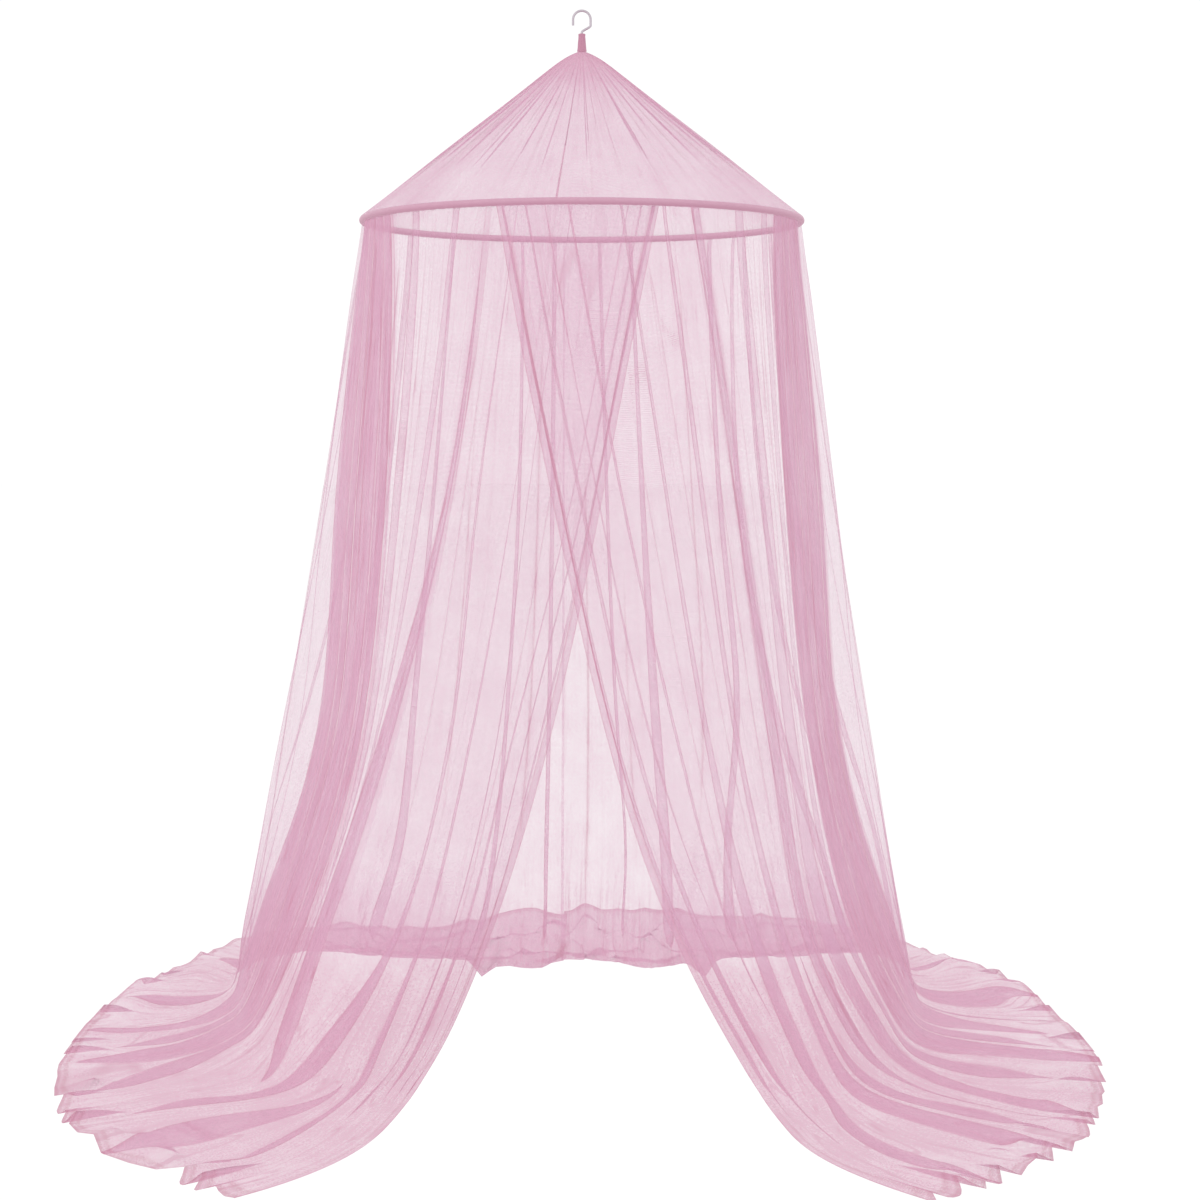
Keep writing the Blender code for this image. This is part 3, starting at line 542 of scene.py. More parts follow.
def columns_at(panel, v):
    """Hoop angle, rise, painted crease shade and thinness of every column at the places v, columns by
    places.
    """
    first = panel.strings[0].hoop_deg
    last = panel.strings[-1].hoop_deg + SEAM_LAP_DEG
    plan = column_plan(panel.folds)
    middles = [middle_at(zone, v) for zone in panel.folds]
    halves = [np.maximum(half_band(zone, v) * opened(panel, index, v), LEAST_BAND)
              for index, zone in enumerate(panel.folds)]
    halves = kept_apart(middles, halves)
    deg = np.zeros((len(plan), len(v)))
    rise = np.zeros_like(deg)
    crease_shade_and_stitches = np.zeros_like(deg)
    thin = np.zeros_like(deg)
    for row, (zone_id, place) in enumerate(plan):
        if zone_id == INNER_EDGE:
            inner = middles[0] - SECTION_REACH * halves[0]
            deg[row] = first + (inner - first) * place
            continue
        if zone_id == OUTER_EDGE:
            outer = middles[-1] + SECTION_REACH * halves[-1]
            deg[row] = outer + (last - outer) * place
            continue
        k = zone_id // 2
        middle = middles[k]
        half = halves[k]
        zone = panel.folds[k]
        if zone_id % 2:
            low = middle + SECTION_REACH * half
            high = middles[k + 1] - SECTION_REACH * halves[k + 1]
            deg[row] = low + (high - low) * place
        elif isinstance(zone, Crease):
            across = SECTION_REACH * (2 * place / CREASE_STEPS - 1)
            along = grows(v, zone.start, CREASE_START_OVER) * fades(v, zone.end, CREASE_END_OVER)
            deg[row] = middle + half * across
            rise[row] = CREASE_RISE * along * (1 - (across / SECTION_REACH)**2)**2
            crease_shade_and_stitches[row] = zone.strength * along * math.exp(-(across / CREASE_SPREAD)**2)
        else:
            across, through, to_turn = SECTION[place]
            plain = SECTION_REACH * through
            open_share = grows(half, LEAST_BAND, FULL_BAND - LEAST_BAND)
            deg[row] = middle + half * (plain + (across - plain) * open_share)
            depth = np.clip(LEAST_DEPTH + DEPTH_PER_DEG * half, 0.0, MOST_DEPTH) * open_share
            ends = (1 - through**2)**1.5
            rise[row] = depth * ends * (RISE_BIAS - zone.lay * RISE_TILT * through)
            # Painted shade along the fold's turns
            spread = np.sqrt(TURN_SHADE_DEG / (TURN_SHADE_TAPER * np.maximum(half, LEAST_TURN_SHADE_HALF)))
            crease_shade_and_stitches[row] = (TURN_SHADE_LEFT + (1 - TURN_SHADE_LEFT) * open_share) * crest(to_turn, spread)
            thin_most = FOLD_THIN + BACK_FOLD_THIN * grows(middle, *BACK_FOLD_STARTS)
            thin[row] = thin_most * open_share * soft_step((1 - abs(through)) / THIN_OVER)
    return deg, rise, crease_shade_and_stitches, thin


def hem_waves(strings, deg):
    """How many waves of the hem there are up to the string at deg."""
    even = np.linspace(strings[0].hoop_deg, strings[-1].hoop_deg, HEM_WAVE_PLACES)
    steps = np.hypot(*(np.diff(table_curve(strings, column, even)) for column in ("hem_x", "hem_y")))
    at_side = grows(even[1:], *HEM_WAVE_SIDE_STARTS)
    length = HEM_WAVE_FRONT + (HEM_WAVE_SIDE - HEM_WAVE_FRONT) * at_side
    return np.interp(deg, even, np.concatenate(((0.0,), np.cumsum(steps / length))))


def hem_notches(panel, deg):
    """How far the hem is drawn in and up at each string, uneven from wave to wave."""
    turn = 2 * math.pi * hem_waves(panel.strings, deg)
    turn = turn + 1.1 * np.sin(0.37 * turn + 2.1 * panel.phase) + panel.phase
    notch = 1 - np.sqrt(np.sin(turn / 2)**2 + 0.05)
    return notch * (0.72 + 0.38 * np.sin(0.61 * turn + 1.7 * panel.phase))


def panel_points(panel, deg, v, rise):
    """The panel's points: its columns laid on the smooth cloth, with their buckles, hem and pushes."""
    laid = v.copy()
    for buckle in panel.buckles:
        inside = grows(deg, buckle.near, BUCKLE_NEAR_OVER) * fades(deg, buckle.far, BUCKLE_FAR_OVER)
        wave = np.sin(deg * 0.42 + buckle.phase) + 0.6 * np.sin(deg * 0.97 + 2.3 * buckle.phase)
        t = (v - buckle.place - buckle.wave * wave) / buckle.wide
        laid -= buckle.lap * buckle.wide * t * np.exp(-t**2) * inside
        rise += buckle.up * inside * crest(t - BUCKLE_CREST, BUCKLE_CREST_HALF)
    train = 1 - grows(deg, *TRAIN_ENDS)
    hem = grows(v, *HEM_RISES)
    notch = hem_notches(panel, deg)
    inner_fade = grows(deg, panel.strings[0].hoop_deg, INNER_EDGE_FADE)
    up = HEM_LIFT * hem**1.5 * (0.4 + 0.6 * train) * inner_fade * notch
    laid = np.clip(laid - HEM_DRAW_IN * hem * notch * train * inner_fade, 0.0, 1.0)
    gathered = GATHERED_SHARE + (1 - GATHERED_SHARE) * soft_step(v / GATHER_END)
    front = crest(np.maximum(deg, 0.0), FRONT_FADE) * fades(v, FLOOR_START, FRONT_RELEASE)
    direction = outward(panel.side, panel.strings, deg, laid)
    direction[..., 2] *= soft_step(v / GATHER_END)
    direction /= np.linalg.norm(direction, axis=-1, keepdims=True)
    away = (rise + panel.stand_off * front) * gathered
    point = smooth_cloth(panel.side, panel.strings, deg, laid) + direction * away[..., None]
    point[..., 2] += up
    for push in panel.pushes:
        near = np.exp(-((deg - push.deg) / push.wide)**2 - ((v - push.place) / push.long)**2)
        point[..., 0] += panel.side * push.aside * near
        point[..., 1] += push.back * near
        point[..., 2] += push.up * near
    least_z = FLOOR_Z + NET_CLEAR + FLOOR_LAYER_SHARE * np.maximum(rise, 0.0)
    point[..., 2] = np.maximum(point[..., 2], least_z)
    return point


def net_cover(panel, deg, v, crease_shade_and_stitches, thin):
    """The cover of the panel's net, its painted crease shade with the darker hem stitches and rim, and how
    much it is gathered.
    """
    first = panel.strings[0].hoop_deg
    side_share = grows(deg, *SIDE_COVER_STARTS)
    back_share = grows(deg, *BACK_COVER_STARTS)
    cover = curve_through(COVER_PLACES, FRONT_COVER, v) * (1 - side_share)
    cover += curve_through(COVER_PLACES, SIDE_COVER, v) * side_share * (1 - back_share)
    cover += curve_through(COVER_PLACES, BACK_COVER, v) * back_share
    cover += OVERLAP_COVER * fades(deg, 3.0, 6.0) * fades(v, 0.30, 0.20)
    bunched = np.zeros_like(cover)
    for bundle in panel.bundles:
        inside = soft_step((deg - curve_through(PLACES, bundle.near, v)) / BUNDLE_EDGE + 0.5)
        inside = inside * soft_step((curve_through(PLACES, bundle.far, v) - deg) / BUNDLE_EDGE + 0.5)
        share = inside * (1 - grows(v, *BUNDLE_OPENS))
        cover = 1 - (1 - cover) * (1 - bundle.cover * share)
        bunched = np.maximum(bunched, share)
    cover *= 1 - thin
    # The end of the seam, the hem's stitches and its rim add their own darker lines to the painted crease
    # shade
    seam_end = np.exp(-((deg - panel.strings[-1].hoop_deg) / 0.8)**2 - ((v - SEAM_END_PLACE) / 0.03)**2)
    crease_shade_and_stitches = crease_shade_and_stitches + 0.9 * seam_end
    border = np.maximum(soft_step((first + HEM_BAND_DEG - deg) / 0.3 + 0.5),
                        soft_step((v - HEM_START) / 0.002 + 0.5))
    cover = 1 - (1 - cover) * (1 - HEM_COVER * border)
    stitch = crest(deg - first - HEM_BAND_DEG, STITCH_DEG) + crest(v - HEM_START, STITCH_SHARE)
    rim = crest(deg - first, RIM_DEG) + grows(v, RIM_START, 0.0015)
    crease_shade_and_stitches = crease_shade_and_stitches + stitch + 1.6 * rim
    cover = 1 - (1 - cover) * (1 - CREASE_COVER * np.clip(crease_shade_and_stitches, 0.0, 2.0))
    drawn_up = fades(v, 0.22, 0.20) * (0.15 + 0.85 * soft_step(v / 0.07))
    gather = 0.25 + 0.75 * drawn_up * (1 - 0.8 * back_share)
    gather = gather + 0.35 * grows(v, 0.45, 0.1) + 1.3 * bunched
    return np.clip(cover, 0.0, MOST_COVER), np.clip(crease_shade_and_stitches, 0.0, 1.0), gather


def row_places():
    """Places down the panel, closer together at the hoop, at the floor and at the hem."""
    even = np.linspace(0.0, 1.0, EVEN_PLACES)
    want = 0.36 + 1.2 * crest(even, 0.03) + 1.0 * crest(even - 0.52, 0.08)
    want += 0.65 * grows(even, 0.50, 0.10)
    want += 2.4 * crest(1.0 - even, 0.02)
    total = np.concatenate(((0.0,), np.cumsum((want[1:] + want[:-1]) / 2)))
    return np.interp(np.linspace(0.0, 1.0, ROWS), total / total[-1], even)


def mesh_from(bm, name):
    mesh = bpy.data.meshes.new(name)
    bm.to_mesh(mesh)
    bm.free()
    return mesh


def vectors_of(items, name):
    """The vectors of that name that the mesh's points or faces have, one a row."""
    values = np.empty(len(items) * 3, np.float32)
    items.foreach_get(name, values)
    return values.reshape(-1, 3)


def add_piece(mesh, name):
    piece = bpy.data.objects.new(name, mesh)
    bpy.context.scene.collection.objects.link(piece)
    return piece


def net_panel(panel, material):
    v_at = row_places()
    deg, rise, crease_shade_and_stitches, thin = columns_at(panel, v_at)
    v = np.broadcast_to(v_at, deg.shape).copy()
    point = panel_points(panel, deg, v, rise)
    cover, crease_shade_and_stitches, gather = net_cover(panel, deg, v, crease_shade_and_stitches, thin)
    columns = len(point)
    bm = bmesh.new()
    bmesh.ops.create_grid(bm, x_segments=columns - 1, y_segments=ROWS - 1, size=1.0)
    mesh = mesh_from(bm, panel.name)
    flat = vectors_of(mesh.vertices, "co")
    i = np.rint((flat[:, 0] + 1) / 2 * (columns - 1)).astype(int)
    j = np.rint((1 - flat[:, 1]) / 2 * (ROWS - 1)).astype(int)
    mesh.vertices.foreach_set("co", point[i, j].astype(np.float32).ravel())
    middle = point[:, ROWS // 2]
    across = np.concatenate(((0.0,), np.cumsum(np.linalg.norm(np.diff(middle, axis=0), axis=-1))))
    down = v_at * PANEL_LENGTH
    finish_sheet(mesh, across[i], down[j], cover[i, j], crease_shade_and_stitches[i, j], gather[i, j], material)
    return add_piece(mesh, panel.name)


def finish_sheet(mesh, across, down, cover, crease_shade_and_stitches, gather, material):
    """Gives a sheet its flat layout in metres, the cover of its net, painted shade on its creases with its
    stitch lines, and its cloth.
    """
    layer = mesh.uv_layers.new(name="flat")
    loops = np.empty(len(mesh.loops), np.int32)
    mesh.loops.foreach_get("vertex_index", loops)
    layout = np.stack((across[loops], down[loops]), axis=-1)
    layer.data.foreach_set("uv", layout.astype(np.float32).ravel())
    for name, value in (("cover", cover), ("crease_shade_and_stitches", crease_shade_and_stitches), ("gather", gather)):
        attribute = mesh.attributes.new(name, "FLOAT", "POINT")
        attribute.data.foreach_set("value", value.astype(np.float32))
    mesh.materials.append(material)
    mesh.shade_smooth()
    mesh.update()
    shade_flat_at_turns(mesh, loops)


def shade_flat_at_turns(mesh, loops):
    """Shades the faces flat where the cloth turns back on itself within one face."""
    face_normals = vectors_of(mesh.polygons, "normal").reshape(-1, 1, 3)
    at_corners = vectors_of(mesh.vertices, "normal")[loops.reshape(-1, 4)]
    agreement = (at_corners * face_normals).sum(axis=-1).min(axis=-1)
    mesh.polygons.foreach_set("use_smooth", agreement > TURN_AGREEMENT)
    mesh.update()


# ---------------------------------------------------------------- the roof
# A roof fold runs from the apex towards the hoop: deg is counted from the front towards the right.
RoofFold = namedtuple("RoofFold", "deg wide lap reach lay")

ROOF_FOLDS = (
    RoofFold(-5.6, 0.7, 2.6, 1.6, 1), RoofFold(-1.6, 0.6, 1.8, 0.72, -1), RoofFold(3, 0.7, 2.2, 1.02, -1),
    RoofFold(6.8, 0.6, 1.6, 0.86, 1), RoofFold(11.5, 0.7, 1.9, 0.64, -1), RoofFold(17, 0.7, 2, 0.8, -1),
    RoofFold(22, 0.8, 2.2, 1.04, 1), RoofFold(27, 0.7, 2.2, 0.98, -1), RoofFold(31.5, 0.8, 2, 0.8, 1),
    RoofFold(37, 0.8, 2.3, 1.06, -1), RoofFold(43, 0.9, 2.4, 0.9, 1), RoofFold(49.5, 0.9, 2.4, 1.04, -1),
    RoofFold(56, 1, 2.5, 0.92, 1), RoofFold(62, 1.1, 2.7, 1.05, -1), RoofFold(69, 1.2, 2.8, 0.96, 1),
    RoofFold(76, 1.3, 3, 1, -1), RoofFold(84, 1.4, 3, 0.95, 1), RoofFold(93, 1.4, 3, 0.9, -1),
    RoofFold(104, 1.4, 2.8, 0.9, 1), RoofFold(118, 1.2, 2.4, 0.85, -1), RoofFold(133, 1, 2.2, 0.9, 1),
    RoofFold(149, 0.9, 2.2, 0.8, -1), RoofFold(163, 0.9, 2, 0.9, 1), RoofFold(178, 0.7, 2.2, 0.9, -1),
    RoofFold(-11, 0.6, 1.8, 0.6, -1), RoofFold(-16, 0.7, 2, 0.94, 1), RoofFold(-20.5, 0.7, 2, 1.04, -1),
    RoofFold(-26, 0.8, 2.2, 0.84, 1), RoofFold(-32, 0.8, 2.2, 1.06, -1), RoofFold(-38.5, 0.8, 2.3, 0.9, 1),
    RoofFold(-44.5, 0.9, 2.4, 1, -1), RoofFold(-51, 0.9, 2.4, 1.05, 1), RoofFold(-58, 1, 2.6, 0.92, -1),
    RoofFold(-64.5, 1.1, 2.7, 1.04, 1), RoofFold(-71, 1.2, 2.9, 0.95, -1), RoofFold(-79, 1.3, 3, 1, 1),
    RoofFold(-88, 1.4, 3, 0.92, -1), RoofFold(-98, 1.4, 2.8, 0.88, 1), RoofFold(-111, 1.3, 2.6, 0.85, -1),
    RoofFold(-126, 1.1, 2.2, 0.9, 1), RoofFold(-143, 0.9, 2.2, 0.8, -1), RoofFold(-161, 0.9, 2, 0.9, 1),
)

ROOF_COLUMNS = 720
ROOF_ROWS = 64
ROOF_EASE = 1.25
ROOF_SLANT = 0.63
ROOF_WIDTH_PER_DEG = 0.0087
APEX_FULLNESS = 0.022
NECK_SHARE = 0.1
NECK_LIFT = 0.001
ROOF_FOLD_FADE = 0.45
ROOF_FOLD_RISE = 0.006
ROOF_SIDE_STARTS = (56.0, 18.0)
ROOF_COVER = 0.32
APEX_COVER = 0.44
ROOF_SIDE_COVER = 0.13
ROOF_CREASE_COVER = 0.18

# Laps for which the place of a fold's turn is worked out beforehand
LAP_TABLE = np.linspace(1.0, 6.0, 101)
HALVINGS = 40


def turn_places():
    """How far from a fold's middle, in half widths, the cloth turns back, for each lap."""
    low = np.zeros_like(LAP_TABLE)
    high = np.full_like(LAP_TABLE, math.sqrt(0.5))
    for _ in range(HALVINGS):
        middle = (low + high) / 2
        past = LAP_TABLE * (1 - 2 * middle**2) * np.exp(-middle**2) > 1.0
        low = np.where(past, middle, low)
        high = np.where(past, high, middle)
    return low


def roof_points(deg, v):
    """Points of the roof net: v is below 0 inside the sleeve, 0 at its foot and 1 at the rim."""
    turn_table = turn_places()
    apex_z = SLEEVE_FOOT_Z + NECK_LIFT
    slope = math.atan2(SLEEVE_FOOT_Z - HOOP_Z, HOOP_RADIUS)
    clear = CASING_OUTSIDE + SEWN_GAP + NET_CLEAR / 2
    rim_r = HOOP_RADIUS + clear * math.sin(slope)
    rim_z = HOOP_Z + clear * math.cos(slope)
    share = np.clip(v, 0.0, 1.0)
    shift = np.zeros_like(deg)
    rise = np.zeros_like(deg)
    crease_shade_and_stitches = np.zeros_like(deg)
    for fold in ROOF_FOLDS:
        away = (deg - fold.deg + 180.0) % 360.0 - 180.0
        fade = fades(share, fold.reach, ROOF_FOLD_FADE)
        lap = fold.lap * (0.25 + 0.75 * fade)
        wide = fold.wide * (1 + 1.2 * (1 - share)**3)
        t = away / wide
        shift -= lap * wide * t * np.exp(-t**2) * fade
        rise += ROOF_FOLD_RISE * fade * (0.5 * crest(t, 3) - fold.lay * t * crest(t, 2))
        turn = np.interp(lap, LAP_TABLE, turn_table)
        # Painted shade along the turns of the roof's folds, and along their middles towards their ends
        crease_shade_and_stitches += 0.8 * fade * grows(lap, 1.0, 0.8) * crest(np.abs(t) - turn, 0.22)
        crease_shade_and_stitches += 0.5 * fades(share, fold.reach + 0.12, 0.25) * crest(away, 0.30) * share
    angle = np.radians(deg + shift)
    rise = rise * np.minimum(share, 0.5) * fades(share, 1.0, 0.10)
    fullness = APEX_FULLNESS * (1 - np.exp(-share / 0.04)) * np.exp(-share / 0.25)
    r = NECK_RADIUS + (rim_r - NECK_RADIUS) * share + fullness + rise * math.sin(slope)
    z = apex_z + (rim_z - apex_z) * share + rise * math.cos(slope)
    neck_z = apex_z + (SLEEVE_TOP_Z - apex_z) * np.clip(-v / NECK_SHARE, 0.0, 1.0)
    z = np.where(v < 0, neck_z, z)
    side_share = grows(np.abs(deg), *ROOF_SIDE_STARTS) * (1 - grows(np.abs(deg), *SIDE_ENDS))
    cover = ROOF_COVER + APEX_COVER * np.exp(-share / 0.15) + ROOF_SIDE_COVER * side_share
    cover = 1 - (1 - cover) * (1 - ROOF_CREASE_COVER * np.clip(crease_shade_and_stitches, 0.0, 2.0))
    point = np.stack((r * np.sin(angle), -r * np.cos(angle), z), axis=-1)
    return point, np.clip(cover, 0.0, MOST_COVER), np.clip(crease_shade_and_stitches, 0.0, 1.0)


def net_roof(material):
    """The cone of net: rings grown from the neck's top to the rim."""
    share = np.concatenate(((-NECK_SHARE,), np.linspace(0.0, 1.0, ROOF_ROWS)**ROOF_EASE))
    bm = bmesh.new()
    bmesh.ops.create_circle(bm, segments=ROOF_COLUMNS, radius=1.0, cap_ends=False)
    edges = list(bm.edges)
    for _ in share[1:]:
        grown = bmesh.ops.extrude_edge_only(bm, edges=edges)["geom"]
        edges = [part for part in grown if isinstance(part, bmesh.types.BMEdge)]
        moved = [part for part in grown if isinstance(part, bmesh.types.BMVert)]
        bmesh.ops.translate(bm, verts=moved, vec=(0.0, 0.0, 1.0))
    bmesh.ops.recalc_face_normals(bm, faces=bm.faces)
    mesh = mesh_from(bm, "net_roof")
    place = vectors_of(mesh.vertices, "co")
    deg = np.degrees(np.arctan2(place[:, 0], -place[:, 1]))
    v = share[np.rint(place[:, 2]).astype(int)]
    point, cover, crease_shade_and_stitches = roof_points(deg, v)
    mesh.vertices.foreach_set("co", point.astype(np.float32).ravel())
    gather = 0.25 + 0.4 * np.exp(-np.clip(v, 0.0, 1.0) / 0.35)
    finish_sheet(mesh, deg * ROOF_WIDTH_PER_DEG, v * ROOF_SLANT, cover, crease_shade_and_stitches, gather, material)
    return add_piece(mesh, "net_roof")


# ---------------------------------------------------------------- casing, sleeve and hook
CASING_SIDES = 28
CASING_STEPS = 720

# The casing's puckers: the fewest and the most round the hoop, and how many sets lie over each other
PUCKER_SEED = 11
PUCKER_WAVES = (90, 330, 9)

SLEEVE_STEPS = 72
WELD = 0.00002
HOOK_BEND_STEPS = 32
HOOK_CROOK_STEPS = 16


def turned(name, profile, steps, material):
    """A piece spun round the canopy's upright axis from a closed profile of (radius, height) points."""
    bm = bmesh.new()
    verts = [bm.verts.new((r, 0.0, z)) for r, z in profile]
    edges = [bm.edges.new(pair) for pair in zip(verts, verts[1:] + verts[:1])]
    bmesh.ops.spin(bm, geom=verts + edges, cent=(0, 0, 0), axis=(0, 0, 1), angle=2 * math.pi,
                   steps=steps, use_merge=True, use_duplicate=False)
    bmesh.ops.remove_doubles(bm, verts=bm.verts, dist=WELD)
    bmesh.ops.recalc_face_normals(bm, faces=bm.faces)
    mesh = mesh_from(bm, name)
    mesh.materials.append(material)
    mesh.shade_smooth()
    return add_piece(mesh, name)


def hoop_casing(material):
    """The cloth tube round the hoop, puckered along the seam below it."""
    profile = []
    for k in range(CASING_SIDES):
        a = 2 * math.pi * k / CASING_SIDES
        profile.append((HOOP_RADIUS + CASING_PUFF * math.cos(a), HOOP_Z + CASING_PUFF * math.sin(a)))
    piece = turned("hoop_casing_cloth", profile, CASING_STEPS, material)
    random = np.random.default_rng(PUCKER_SEED)
    waves = [(int(n), random.uniform(0, 2 * math.pi)) for n in random.integers(*PUCKER_WAVES)]
    for vert in piece.data.vertices:
        angle = math.atan2(vert.co.y, vert.co.x)
        r = math.hypot(vert.co.x, vert.co.y)
        around = math.atan2(vert.co.z - HOOP_Z, r - HOOP_RADIUS)
        pucker = sum(math.sin(n * angle + start) for n, start in waves) / len(waves)
        near_seam = math.exp(-((abs(around + math.pi / 2)) / 0.9)**2)
        scale = 1 + (0.05 + 0.10 * near_seam) * pucker
        r = HOOP_RADIUS + (r - HOOP_RADIUS) * scale
        z = HOOP_Z + (vert.co.z - HOOP_Z) * scale
        vert.co = (r * math.cos(angle), r * math.sin(angle), z)
    return piece


def apex_sleeve(material):
    """The bound sleeve at the apex, with a turned edge at its top and its foot."""
    top = SLEEVE_TOP_Z
    foot = SLEEVE_FOOT_Z
    profile = [
        (0.0052, top - 0.0002), (0.0060, top), (0.0068, top - 0.0006), (0.0071, top - 0.0018),
        (0.0069, top - 0.0034), (0.0067, top - 0.0045), (0.0072, top - 0.012), (0.0080, top - 0.022),
        (0.0087, foot + 0.0085), (0.0090, foot + 0.0055), (0.0094, foot + 0.0040),
        (0.0097, foot + 0.0020), (0.0095, foot + 0.0004), (0.0088, foot), (0.0054, foot + 0.0002),
        (0.0050, foot + 0.004), (0.0048, top - 0.006),
    ]
    inside_r = profile[0][0]
    piece = turned("apex_sleeve_cloth", profile, SLEEVE_STEPS, material)
    for vert in piece.data.vertices:
        angle = math.atan2(vert.co.y, vert.co.x)
        r = math.hypot(vert.co.x, vert.co.y)
        tuck = 0.00035 * math.sin(9 * angle + 0.6) + 0.0002 * math.sin(17 * angle + vert.co.z * 160)
        r += (tuck + SLEEVE_EASE) * grows(r, inside_r, 0.0015)
        vert.co = (r * math.cos(angle), r * math.sin(angle), vert.co.z)
    return piece


def hook_wire(material):
    """The hook's wire: a short limb, the bend over the top, the crook back to the middle, the shank."""
    centre_z = -(HOOK_BEND_RADIUS - WIRE_RADIUS)
    foot_z = centre_z - HOOK_LIMB
    points = [(-HOOK_BEND_RADIUS, foot_z), (-HOOK_BEND_RADIUS, foot_z + HOOK_LIMB / 2)]
    for k in range(HOOK_BEND_STEPS + 1):
        angle = math.pi * (1 - k / HOOK_BEND_STEPS)
        x = HOOK_BEND_RADIUS * math.cos(angle)
        points.append((x, centre_z + HOOK_BEND_RADIUS * math.sin(angle)))
    for k in range(HOOK_CROOK_STEPS + 1):
        share = k / HOOK_CROOK_STEPS
        sweep = share * share * (3 - 2 * share)
        points.append((HOOK_BEND_RADIUS * (1 - sweep), foot_z - (foot_z - SHANK_TOP_Z) * share))
    points.append((0.0, SHANK_TOP_Z - SHANK_LENGTH))
    curve = bpy.data.curves.new("hook_wire", "CURVE")
    curve.dimensions = "3D"
    curve.bevel_depth = WIRE_RADIUS
    curve.bevel_resolution = 6
    curve.use_fill_caps = True
    spline = curve.splines.new("POLY")
    spline.points.add(len(points) - 1)
    for point, (x, z) in zip(spline.points, points):
        point.co = (x, 0.0, z, 1.0)
    holder = bpy.data.objects.new("hook_line", curve)
    bpy.context.scene.collection.objects.link(holder)
    bpy.context.view_layer.update()
    drawn = holder.evaluated_get(bpy.context.evaluated_depsgraph_get())
    mesh = bpy.data.meshes.new_from_object(drawn)
    bpy.data.objects.remove(holder)
    mesh.name = "hook_wire"
    mesh.materials.clear()
    mesh.materials.append(material)
    mesh.shade_smooth()
    return add_piece(mesh, "hook_wire")


# ---------------------------------------------------------------- materials
NET_COLOUR = (0.638, 0.350, 0.490)
NET_BUNCHED = (0.646, 0.348, 0.472)
# Painted shade on creases, fold turns and fine gathers, and the darker thread of the hem's stitches and
# rim
NET_CREASE_SHADE = (0.565, 0.262, 0.362)
NET_PITCH = 0.0016
THREAD_CONTRAST = 0.5
BINDING_COLOUR = (0.56, 0.26, 0.36)
BINDING_DARK = (0.47, 0.20, 0.30)
BINDING_SCALE = 180.0
CASING_COLOUR = (0.635, 0.365, 0.47)
CASING_DARK = (0.56, 0.290, 0.40)
# Painted shade on the casing's underside, along its seam
CASING_SEAM_SHADE = (0.50, 0.235, 0.335)
CASING_SCALE = 120.0
WIRE_COLOUR = (0.62, 0.55, 0.60)
WIRE_DARK = (0.46, 0.40, 0.45)
ROD_COLOUR = (0.80, 0.76, 0.78)
ROD_DARK = (0.70, 0.66, 0.69)


def new_material(name, roughness, metallic, sheen=0.0):
    material = bpy.data.materials.new(name)
    material.use_nodes = True
    tree = material.node_tree
    shader = tree.nodes["Principled BSDF"]
    shader.inputs["Roughness"].default_value = roughness
    shader.inputs["Metallic"].default_value = metallic
    shader.inputs["Sheen Weight"].default_value = sheen
    return material, tree, shader


def feed(tree, socket, value):
    """Links a socket to the output that feeds it, or sets it to a constant or a colour."""
    if isinstance(value, bpy.types.NodeSocket):
        tree.links.new(value, socket)
    elif socket.type == "RGBA":
        socket.default_value = (*value, 1.0)
    else:
        socket.default_value = value


def add_node(tree, kind, **inputs):
    """A new shader node with its inputs by name, where an underscore stands for a space."""
    made = tree.nodes.new("ShaderNode" + kind)
    for name, value in inputs.items():
        feed(tree, made.inputs[name.replace("_", " ")], value)
    return made


def reckon(tree, operation, *values, clamp=False):
    """The result of one step of arithmetic on the values."""
    made = tree.nodes.new("ShaderNodeMath")
    made.operation = operation
    made.use_clamp = clamp
    for socket, value in zip(made.inputs, values):
        feed(tree, socket, value)
    return made.outputs[0]


def remap(tree, value, low, high, to_low=0.0, to_high=1.0, soft=False, clamp=True):
    """Takes a value from one range to another."""
    made = add_node(tree, "MapRange", Value=value, From_Min=low, From_Max=high,
                    To_Min=to_low, To_Max=to_high)
    made.clamp = clamp
    if soft:
        made.interpolation_type = "SMOOTHSTEP"
    return made.outputs["Result"]


def blend_colours(tree, share, first, second):
    made = tree.nodes.new("ShaderNodeMix")
    made.data_type = "RGBA"
    for name, value in (("Factor", share), ("A", first), ("B", second)):
        feed(tree, made.inputs[name], value)
    return made.outputs["Result"]


def noise(tree, place, scale, **inputs):
    return add_node(tree, "TexNoise", Vector=place, Scale=scale, **inputs).outputs["Fac"]


def object_place(tree):
    return add_node(tree, "TexCoord").outputs["Object"]


def flat_place(tree):
    """The place in the sheet's flat layout, in metres."""
    made = tree.nodes.new("ShaderNodeUVMap")
    made.uv_map = "flat"
    return made.outputs["UV"]


def point_value(tree, name):
    """What finish_sheet wrote on the sheet's points under this name."""
    made = tree.nodes.new("ShaderNodeAttribute")
    made.attribute_name = name
    return made.outputs["Fac"]


def mesh_weave(tree, pitch):
    """A knitted net's six-sided holes in the flat layout: 1 on the thread and 0 in the hole."""
    place = flat_place(tree)
    total = None
    for k in range(3):
        angle = math.radians(60 * k + 30)
        turn = tree.nodes.new("ShaderNodeVectorMath")
        turn.operation = "DOT_PRODUCT"
        turn.inputs[1].default_value = (math.cos(angle), math.sin(angle), 0.0)
        tree.links.new(place, turn.inputs[0])
        scale = 2 * math.pi / (pitch * math.sqrt(3) / 2)
        wave = reckon(tree, "COSINE", reckon(tree, "MULTIPLY", turn.outputs["Value"], scale))
        total = wave if total is None else reckon(tree, "ADD", total, wave)
    return remap(tree, total, 0.3, -0.9, soft=True)


